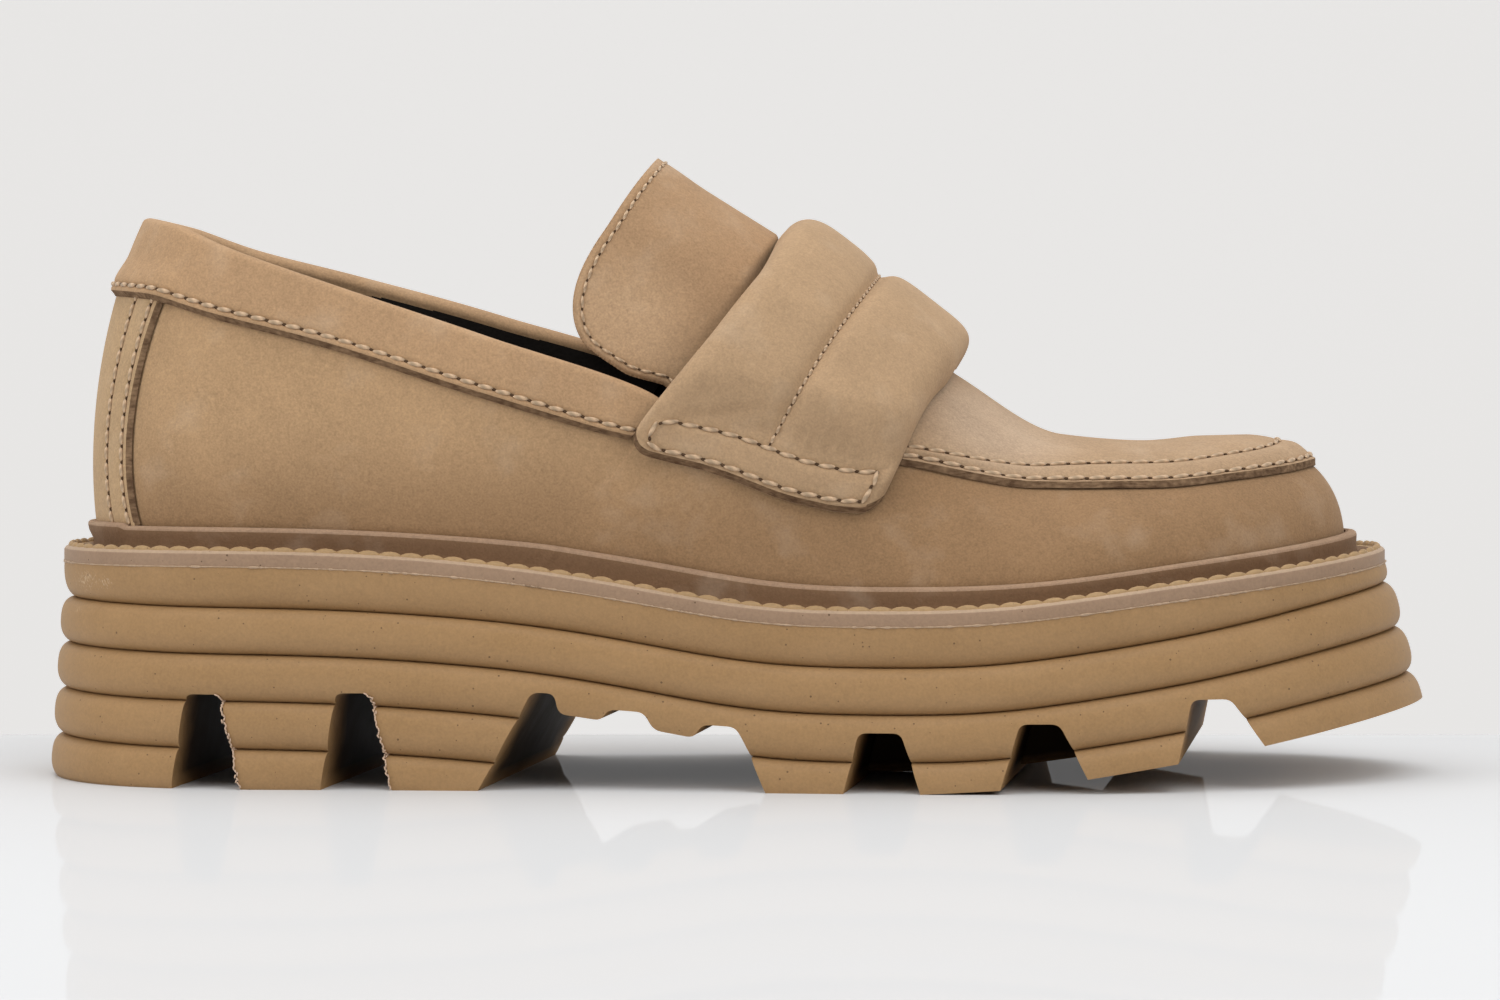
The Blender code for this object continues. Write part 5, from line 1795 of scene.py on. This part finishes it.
def mark_painted_shade(mesh, places, soil):
    """Gives every point of a mesh the painted shade of the nearest of some places, as its groove attribute.
    """
    tree = KDTree(len(places))
    for index, place in enumerate(places):
        tree.insert(place, index)
    tree.balance()
    found = [soil[tree.find(vertex.co)[1]] for vertex in mesh.vertices]
    mesh.attributes.new("groove", "FLOAT", "POINT").data.foreach_set("value", found)


# Middle bar of the forefoot tread: its ends along the shoe, half width, height over the floor, depth of
# its top below the seat and slant of its lower edges.
TREAD_CORE = (17.0, 81.0)
TREAD_CORE_HALF = 12.0
TREAD_CORE_FOOT = 1.0
TREAD_CORE_TOP = 14.0
TREAD_CORE_EDGE = 1.0


def build_tread_core(tread):
    """A bar along the middle of the tread that the notches of the forefoot run up to; it blocks the light
    through them and wears the tread's painted shade.
    """
    half, edge = TREAD_CORE_HALF, TREAD_CORE_EDGE
    sections = []
    for x in np.linspace(*TREAD_CORE, 20):
        foot = TREAD_CORE_FOOT + spring(x)
        side = [(half - edge, foot), (half, foot + edge), (half, float(SEAT_Z(x)) - TREAD_CORE_TOP)]
        ring = [(-y, z) for y, z in reversed(side)] + side
        sections.append([(x, y, z) for y, z in ring])
    sections = np.array(sections)
    return make_piece("tread_middle_bar", sections, sweep(sections, False)[0], [tread], sharp=SHARP["bar"])


NOTCH_FLASH = (0.22, 0.15)


def notch_flash_paths(mesh):
    """Ragged paths down the edges where the front walls of the heel's notches meet the outer side."""
    bm = bmesh.new()
    bm.from_mesh(mesh)
    spots = set()
    for edge in bm.edges:
        faces = {face.material_index: face for face in edge.link_faces}
        if len(faces) == 2 and faces[1].normal.x < -0.4:
            spots.update(tuple(vert.co / MM) for vert in edge.verts if vert.co.y < 0)
    bm.free()
    spots = np.array(sorted(spots, key=lambda spot: -spot[2]))
    draw = np.random.default_rng(FLASH_SEED)
    paths = []
    for notch in HEEL_NOTCHES:
        near = spots[(spots[:, 0] > notch.front_top - 1.5) & (spots[:, 0] < notch.front_foot + 1.5)]
        run = lengths(near)
        steps = np.arange(0.0, run[-1], 0.35)
        path = points_at(steps, run, near)
        path[:, 0] += draw.normal(size=len(steps)) * NOTCH_FLASH[0]
        path[:, 1] -= np.abs(draw.normal(size=len(steps))) * NOTCH_FLASH[1]
        path[:, 2] = np.maximum(path[:, 2], 0.45)
        paths.append((path, np.tile([0.0, -1.0, 0.0], (len(path), 1))))
    return paths


def build_outsole(side, tread):
    ring = Ring("outsole")
    places = ring.loop
    count = ring.count
    nx, ny = outward(places)
    margin = MARGIN(places)
    edge = FOOT_X(places) + nx * margin
    seat = SEAT_Z(edge)
    sag = np.mean([np.interp(edge + step, *RIB_SAG) for step in SAG_BLEND], axis=0)
    sag = sag - RIB_LIFT(places)
    rows = rib_rows()
    points = []
    for depth, bulge, _ in rows:
        out = margin + FLARE(places) * depth + RIB_BULGE * (bulge - 1)
        z = seat - depth - sag * min(depth / RIB_EDGES[0], 1.0)
        points.append(np.stack([FOOT_X(places) + nx * out, FOOT_Y(places) + ny * out, z], -1))
    number = np.arange(len(rows) * count).reshape(len(rows), count)
    faces = list(grid_faces(np.concatenate([number, number[:, :1]], axis=1)))
    for level in (number[0], number[-1]):
        for i in range(len(ring.side) - 1):
            faces.append(level[[i, i + 1, ring.partner(i + 1), ring.partner(i)]])
    points = np.concatenate(points)
    sole = make_piece("outsole_block", points, faces, [side])
    cutter = build_tread_cutter(tread)
    cut = sole.modifiers.new("tread", "BOOLEAN")
    cut.operation = "DIFFERENCE"
    cut.solver = "EXACT"
    cut.material_mode = "TRANSFER"
    cut.object = cutter
    mesh = baked(sole, "outsole_rubber")
    bpy.data.objects.remove(cutter, do_unlink=True)
    # Painted shade under the ribs, given to each point of the cut sole.
    mark_painted_shade(mesh, points * MM, np.repeat([row[2] for row in rows], count))
    mesh.polygons.foreach_set("use_smooth", [True] * len(mesh.polygons))
    mesh.set_sharp_from_angle(angle=math.radians(SHARP["outsole"]))
    return new_object("outsole_rubber", mesh)


def colour(label, words, value):
    """A colour that a user can change."""
    return bpy.props.FloatVectorProperty(
        name=label, description=words, subtype="COLOR", size=3, min=0.0, max=1.0, default=value
    )


def length(label, words, value):
    """A length that a user can change."""
    return bpy.props.FloatProperty(
        name=label, description=words, unit="LENGTH", min=0.0, max=0.1, precision=5, default=value * MM
    )


def share(label, words, value):
    """A share that a user can change."""
    return bpy.props.FloatProperty(
        name=label, description=words, subtype="FACTOR", min=0.0, max=1.0, default=value
    )


class ShoeLeather(bpy.types.PropertyGroup):
    """Colours of the leathers."""

    quarter: colour("Upper", "Nubuck of the quarters", (0.45, 0.287, 0.155))
    # The vamp colour is partly the vamp's own tone and partly painted shade; the upper's foot takes it as
    # painted shade.
    vamp: colour("Vamp", "Nubuck of the vamp's wall", (0.302, 0.18, 0.092))
    apron: colour("Apron", "Nubuck of the apron", (0.425, 0.285, 0.172))
    # The tongue's pale place is a painted pool of light beside the strap.
    tongue_dust: colour("Tongue's dust", "Rubbed corner of the tongue", (0.51, 0.335, 0.197))
    dust: colour("Dust", "Rubbed place at the back of the apron", (0.48, 0.348, 0.24))
    strap: colour("Strap", "Nubuck of the saddle strap", (0.44, 0.292, 0.17))
    tongue: colour("Tongue", "Nubuck of the tongue", (0.395, 0.246, 0.136))
    strip: colour("Heel strip", "Nubuck of the heel strip", (0.465, 0.312, 0.174))
    band: colour("Collar band", "Nubuck of the collar band", (0.44, 0.276, 0.152))
    cut: colour("Cut edge", "Core of the leather where a panel is cut", (0.12, 0.07, 0.04))
    fibre: colour("Fibres", "Loose fibres along a cut edge", (0.34, 0.22, 0.128))
    lining: colour("Lining", "Lining and sock inside the shoe", (0.02, 0.017, 0.015))


class ShoeSole(bpy.types.PropertyGroup):
    """Colours and sizes of the sole."""

    outsole: colour("Outsole", "Rubber of the outsole", (0.368, 0.215, 0.091))
    bead: colour("Bead", "Rubber of the wheeled bead", (0.4, 0.255, 0.122))
    strip: colour("Strip", "Rubber of the flat welt strip", (0.33, 0.214, 0.137))
    brow: colour("Brow", "Pale upper edge of the welt strip", (0.45, 0.315, 0.21))
    flash: colour("Flash", "Ragged rubber left by the mould", (0.62, 0.45, 0.33))
    # The lip and its edge are shaded and lit copies of one colour: the lip's colour is painted shade, the
    # edge's paler one painted light.
    lip: colour("Lip", "Leather lip that stands against the upper", (0.195, 0.11, 0.059))
    lip_edge: colour("Lip's edge", "Upper edge of the lip, rubbed pale", (0.35, 0.226, 0.145))
    bead_pitch: length("Bead pitch", "Distance from one scallop of the bead to the next", 4.2)


class ShoeSewing(bpy.types.PropertyGroup):
    """Colours and sizes of the sewing."""

    thread: colour("Thread", "Thread of the stitches", (0.58, 0.41, 0.26))
    hole: colour("Needle holes", "Shadow in the needle holes", (0.09, 0.054, 0.033))
    width: length("Thread width", "Width of a stitch", 0.95)
    fine_width: length("Fine thread width", "Width of a stitch on the tongue and in the strap's seam", 0.68)


class ShoeStage(bpy.types.PropertyGroup):
    """Floor, backdrop and light."""

    floor: colour("Floor", "Glossy pale floor", (0.7, 0.706, 0.715))
    backdrop: colour("Backdrop", "Plain wall behind", (0.8, 0.79, 0.78))
    gloss: share("Gloss", "Share of the floor that mirrors", 0.12)


def make_nubuck(name, value, **values):
    return shared_material(name, finished, "nap", value, **values)


def make_rubber(name, value, **values):
    return shared_material(name, finished, "rubber", value, **values)


def make_cut(leather):
    return shared_material("cut_edge", finished, "fibre", leather.cut, Fibre_Color=opaque(leather.fibre))


def make_lining(leather):
    return shared_material("dark_lining", lining, leather.lining)


# Scuffs at the heel end of the ribs: place and reach in metres.
SCUFF_SPOTS = (
    (-0.1305, -0.027, 0.0402, 0.0055),
    (-0.126, -0.031, 0.0398, 0.0035),
    (-0.1325, -0.024, 0.0345, 0.0028),
)
# Pale places on apron and tongue: place and reach in metres. The tongue's is a painted pool of light beside
# the strap.
APRON_PALE_SPOT = ((0.05, -0.018, 0.071), 0.024)
TONGUE_PAINTED_LIGHT = ((-0.0234, -0.032, 0.089), 0.022)
# Crumbs of the notches' flash: pitch in millimetres and sizes in metres.
NOTCH_CRUMB_PITCH = 0.7
NOTCH_CRUMB = {"Length": 0.9 * MM, "Width": 0.34 * MM, "Height": 0.5 * MM}
# Scallops of the bead: length as a share of their pitch, sizes in metres.
SCALLOP_SHARE = 1.24
SCALLOP = {"Width": 1.7 * MM, "Height": 2.7 * MM, "Raise": 0.0}


class SHOE_OT_outsole(bpy.types.Operator):
    """Make the ribbed outsole with its lugs"""

    bl_idname = "shoe.outsole"
    bl_label = "Outsole"

    def execute(self, context):
        sole = context.scene.shoe_sole
        side = shared_material("outsole_rubber", scuffed_rubber, sole.outsole, SCUFF_SPOTS)
        tread = shared_material("tread_rubber", tread_rubber, sole.outsole)
        pale = make_rubber("flash_rubber", sole.flash, Pits=0.2, Dust=0.2)
        outsole = settle(build_outsole(side, tread), "outsole", "outsole")
        paths = notch_flash_paths(outsole.data)
        settle(row_pieces("notch_flash", paths, False, NOTCH_CRUMB_PITCH, pale, **NOTCH_CRUMB), "outsole")
        settle(build_tread_core(tread), "outsole")
        return {"FINISHED"}


class SHOE_OT_welt(bpy.types.Operator):
    """Make the welt's strip, its lip and its scalloped bead"""

    bl_idname = "shoe.welt"
    bl_label = "Welt"

    def execute(self, context):
        sole = context.scene.shoe_sole
        strip = make_rubber("welt_strip_rubber", sole.strip, Pits=0.8)
        bead = make_rubber("bead_rubber", sole.bead, Pits=0.4)
        # The lip wears painted shade, and its edge a paler, painted lit copy of it.
        lip = make_nubuck("lip_leather", sole.lip, Mottle=0.2, Strokes=0.1)
        brow = make_rubber("strip_brow_rubber", sole.brow, Pits=0.3, Dust=0.2)
        edge = make_nubuck("lip_edge_leather", sole.lip_edge, Strokes=0.1)
        settle(build_welt(strip, bead, lip, brow, edge), "welt", "welt")
        settle(build_flash(brow), "welt")
        pitch = sole.bead_pitch
        sizes = dict(SCALLOP, Length=pitch * SCALLOP_SHARE)
        settle(row_pieces("welt_bead_scallops", bead_path(), True, pitch / MM, bead, **sizes), "welt")
        return {"FINISHED"}


class SHOE_OT_upper(bpy.types.Operator):
    """Make the hollow upper"""

    bl_idname = "shoe.upper"
    bl_label = "Upper"

    def execute(self, context):
        leather = context.scene.shoe_leather
        outside = shared_material("upper_nubuck", upper_nubuck, leather.quarter, leather.vamp)
        settle(build_upper(outside, make_lining(leather)), "upper", "upper")
        return {"FINISHED"}


class SHOE_OT_panels(bpy.types.Operator):
    """Make the cut panels: apron, collar band and heel strip"""

    bl_idname = "shoe.panels"
    bl_label = "Panels"

    def execute(self, context):
        leather = context.scene.shoe_leather
        cut = make_cut(leather)
        dusty = shared_material("apron_nubuck", pale_spot_nubuck, leather.apron, leather.dust, *APRON_PALE_SPOT)
        settle(build_apron(dusty, cut), "apron", "apron")
        band = build_band(make_nubuck("band_nubuck", leather.band), cut, make_lining(leather))
        settle(band, "collar_band", "collar_band")
        settle(build_heel_strip(make_nubuck("strip_nubuck", leather.strip), cut), "heel_strip", "heel_strip")
        return {"FINISHED"}


class SHOE_OT_strap(bpy.types.Operator):
    """Make the padded saddle strap"""

    bl_idname = "shoe.strap"
    bl_label = "Strap"

    def execute(self, context):
        leather = context.scene.shoe_leather
        outside = make_nubuck("strap_nubuck", leather.strap, Mottle=0.24, Strokes=0.28)
        strap = build_strap(outside, make_cut(leather), make_lining(leather))
        settle(strap, "saddle_strap", "saddle_strap")
        return {"FINISHED"}


class SHOE_OT_tongue(bpy.types.Operator):
    """Make the arched tongue"""

    bl_idname = "shoe.tongue"
    bl_label = "Tongue"

    def execute(self, context):
        leather = context.scene.shoe_leather
        # The tongue's paler colour is a painted pool of light beside the strap.
        colours = (leather.tongue, leather.tongue_dust)
        dusty = shared_material("tongue_nubuck", pale_spot_nubuck, *colours, *TONGUE_PAINTED_LIGHT)
        settle(build_tongue(dusty, make_lining(leather)), "tongue", "tongue")
        return {"FINISHED"}


class SHOE_OT_insole(bpy.types.Operator):
    """Make the sock over the insole"""

    bl_idname = "shoe.insole"
    bl_label = "Insole"

    def execute(self, context):
        settle(build_insole(make_lining(context.scene.shoe_leather)), "insole", "insole")
        return {"FINISHED"}


# Rows of stitches: name, slot, paths, closed, pitch in millimetres and whether the thread is fine.
ROWS = table(
    "name slot paths closed pitch fine",
    ("apron_stitches", "apron", apron_rows, False, 4.2, False),
    ("band_stitches", "collar_band", band_rows, False, 3.65, False),
    ("strip_stitches", "heel_strip", strip_rows, False, 3.3, False),
    ("tab_stitches", "saddle_strap", strap_rows, True, 4.0, False),
    ("seam_stitches", "saddle_strap", strap_seam_rows, False, 2.2, True),
    ("tongue_stitches", "tongue", tongue_rows, False, 2.9, True),
)
# A stitch and its needle hole: shares of the thread's width, and the stitch's share of its pitch.
STITCH = {"Width": 1.0, "Height": 0.9, "Raise": 0.3}
HOLE = {"Length": 1.0, "Width": 0.68, "Height": 0.5, "Raise": 0.15}
STITCH_SHARE = 0.88
STITCH_SLANT = math.radians(7.0)


class SHOE_OT_stitching(bpy.types.Operator):
    """Sew every row: thread and needle holes"""

    bl_idname = "shoe.stitching"
    bl_label = "Stitching"

    def execute(self, context):
        sewing = context.scene.shoe_sewing
        cotton = shared_material("tan_thread", thread, sewing.thread)
        shadow = shared_material("needle_hole", needle_hole, sewing.hole)
        for row in ROWS:
            width = sewing.fine_width if row.fine else sewing.width
            run = (row.paths(), row.closed, row.pitch)
            sizes = {label: width * part for label, part in STITCH.items()}
            sizes.update(Mark=1.0, Length=row.pitch * MM * STITCH_SHARE, Slant=STITCH_SLANT)
            settle(row_pieces(row.name, *run, cotton, **sizes), row.slot)
            sizes = {label: width * part for label, part in HOLE.items()}
            holes = row.name.replace("stitches", "needle_holes")
            settle(row_pieces(holes, *run, shadow, **sizes), row.slot)
        return {"FINISHED"}


def flat_plane(name, corners, material):
    mesh = bpy.data.meshes.new(name)
    mesh.from_pydata(corners, [], [(0, 1, 2, 3)])
    mesh.materials.append(material)
    obj = new_object(name, mesh)
    return obj


def floor_material(value, gloss):
    """Pale floor that mirrors a fixed share of what stands on it."""
    material, net, shader = new_material("stage_floor", value, {})
    net.tree.nodes.remove(shader)
    matte = net.get("ShaderNodeBsdfDiffuse", Color=opaque(value))
    mirror = net.get("ShaderNodeBsdfGlossy", Color=FLOOR_MIRROR, Roughness=0.03)
    blend = net.filled(net.node("ShaderNodeMixShader"), gloss, matte, mirror)
    net.feed(net.tree.nodes["Material Output"].inputs["Surface"], blend.outputs[0])
    return material


def backdrop_material(value):
    plain = {
        "Base Color": opaque(value),
        "Roughness": 1.0,
        "Specular IOR Level": 0.0,
        "Emission Color": opaque(value),
        "Emission Strength": BACKDROP_GLOW,
    }
    return new_material("stage_backdrop", value, plain)[0]


# Area lights: place, what they point at, size in metres and power in watts.
LAMPS = table(
    "name place target size power",
    ("overhead", (-0.05, -0.12, 1.0), (0.0, 0.0, 0.04), 1.4, 9.8),
    ("left", (-1.0, -0.55, 0.45), (-0.02, 0.0, 0.06), 0.8, 4.3),
    ("right", (0.6, -0.65, 0.75), (0.03, 0.0, 0.05), 1.0, 4.4),
)
WORLD_COLOUR = (1.0, 0.995, 0.985, 1.0)
WORLD_STRENGTH = 0.255

# Floor and backdrop: corners in metres, tint of the mirror and glow of the wall.
FLOOR_CORNERS = [(-3.0, -3.0, 0.0), (3.0, -3.0, 0.0), (3.0, 0.094, 0.0), (-3.0, 0.094, 0.0)]
FLOOR_MIRROR = (0.95, 0.96, 0.98, 1.0)
BACKDROP_CORNERS = [(-6.0, 2.4, -3.0), (6.0, 2.4, -3.0), (6.0, 2.4, 4.5), (-6.0, 2.4, 4.5)]
BACKDROP_GLOW = 0.63

# Camera: place, pitch below the horizon, lens and sensor, as the picture was taken.
CAMERA_PLACE = (0.00215, -1.0, 0.088)
CAMERA_DIP = math.radians(1.87)
CAMERA_LENS = 118.03
CAMERA_SENSOR = 36.0


class SHOE_OT_stage(bpy.types.Operator):
    """Set the floor, the backdrop, the lights and the camera"""

    bl_idname = "shoe.stage"
    bl_label = "Stage"

    def execute(self, context):
        scene = context.scene
        stage = scene.shoe_stage
        flat_plane("stage_floor", FLOOR_CORNERS, floor_material(stage.floor, stage.gloss))
        flat_plane("stage_backdrop", BACKDROP_CORNERS, backdrop_material(stage.backdrop))
        world = bpy.data.worlds.new("stage_light")
        world.use_nodes = True
        background = world.node_tree.nodes["Background"]
        background.inputs["Color"].default_value = WORLD_COLOUR
        background.inputs["Strength"].default_value = WORLD_STRENGTH
        scene.world = world
        for lamp in LAMPS:
            data = bpy.data.lights.new("stage_" + lamp.name, "AREA")
            data.size = lamp.size
            data.energy = lamp.power
            obj = new_object("stage_" + lamp.name, data)
            obj.location = lamp.place
            obj.visible_glossy = False
            aim = Vector(lamp.target) - Vector(lamp.place)
            obj.rotation_euler = aim.to_track_quat("-Z", "Y").to_euler()
        data = bpy.data.cameras.new("stage_camera")
        data.lens = CAMERA_LENS
        data.sensor_width = CAMERA_SENSOR
        data.dof.use_dof = False
        camera = new_object("stage_camera", data)
        camera.location = CAMERA_PLACE
        camera.rotation_euler = (math.pi / 2 - CAMERA_DIP, 0.0, 0.0)
        scene.camera = camera
        scene.view_settings.view_transform = "Standard"
        return {"FINISHED"}


GROUPS_OF_SETTINGS = {
    "shoe_leather": ShoeLeather,
    "shoe_sole": ShoeSole,
    "shoe_sewing": ShoeSewing,
    "shoe_stage": ShoeStage,
}
OPERATORS = (
    SHOE_OT_outsole,
    SHOE_OT_welt,
    SHOE_OT_upper,
    SHOE_OT_panels,
    SHOE_OT_strap,
    SHOE_OT_tongue,
    SHOE_OT_insole,
    SHOE_OT_stitching,
    SHOE_OT_stage,
)


class SHOE_PT_panel(bpy.types.Panel):
    """Pieces of the shoe and what can be changed on them"""

    bl_idname = "SHOE_PT_panel"
    bl_label = "Slip-on shoe"
    bl_space_type = "VIEW_3D"
    bl_region_type = "UI"
    bl_category = "Shoe"

    def draw(self, context):
        layout = self.layout
        for name, group in GROUPS_OF_SETTINGS.items():
            box = layout.box()
            for setting in group.__annotations__:
                box.prop(getattr(context.scene, name), setting)
        for operator in OPERATORS:
            layout.operator(operator.bl_idname)


CLASSES = (*GROUPS_OF_SETTINGS.values(), *OPERATORS, SHOE_PT_panel)


def register():
    for cls in CLASSES:
        bpy.utils.register_class(cls)
    for name, group in GROUPS_OF_SETTINGS.items():
        setattr(bpy.types.Scene, name, bpy.props.PointerProperty(type=group))


def unregister():
    for name in GROUPS_OF_SETTINGS:
        delattr(bpy.types.Scene, name)
    for cls in reversed(CLASSES):
        bpy.utils.unregister_class(cls)


def main():
    register()
    bpy.ops.shoe.outsole()
    bpy.ops.shoe.welt()
    bpy.ops.shoe.upper()
    bpy.ops.shoe.panels()
    bpy.ops.shoe.strap()
    bpy.ops.shoe.tongue()
    bpy.ops.shoe.insole()
    bpy.ops.shoe.stitching()
    bpy.ops.shoe.stage()


if __name__ == "__main__":
    main()
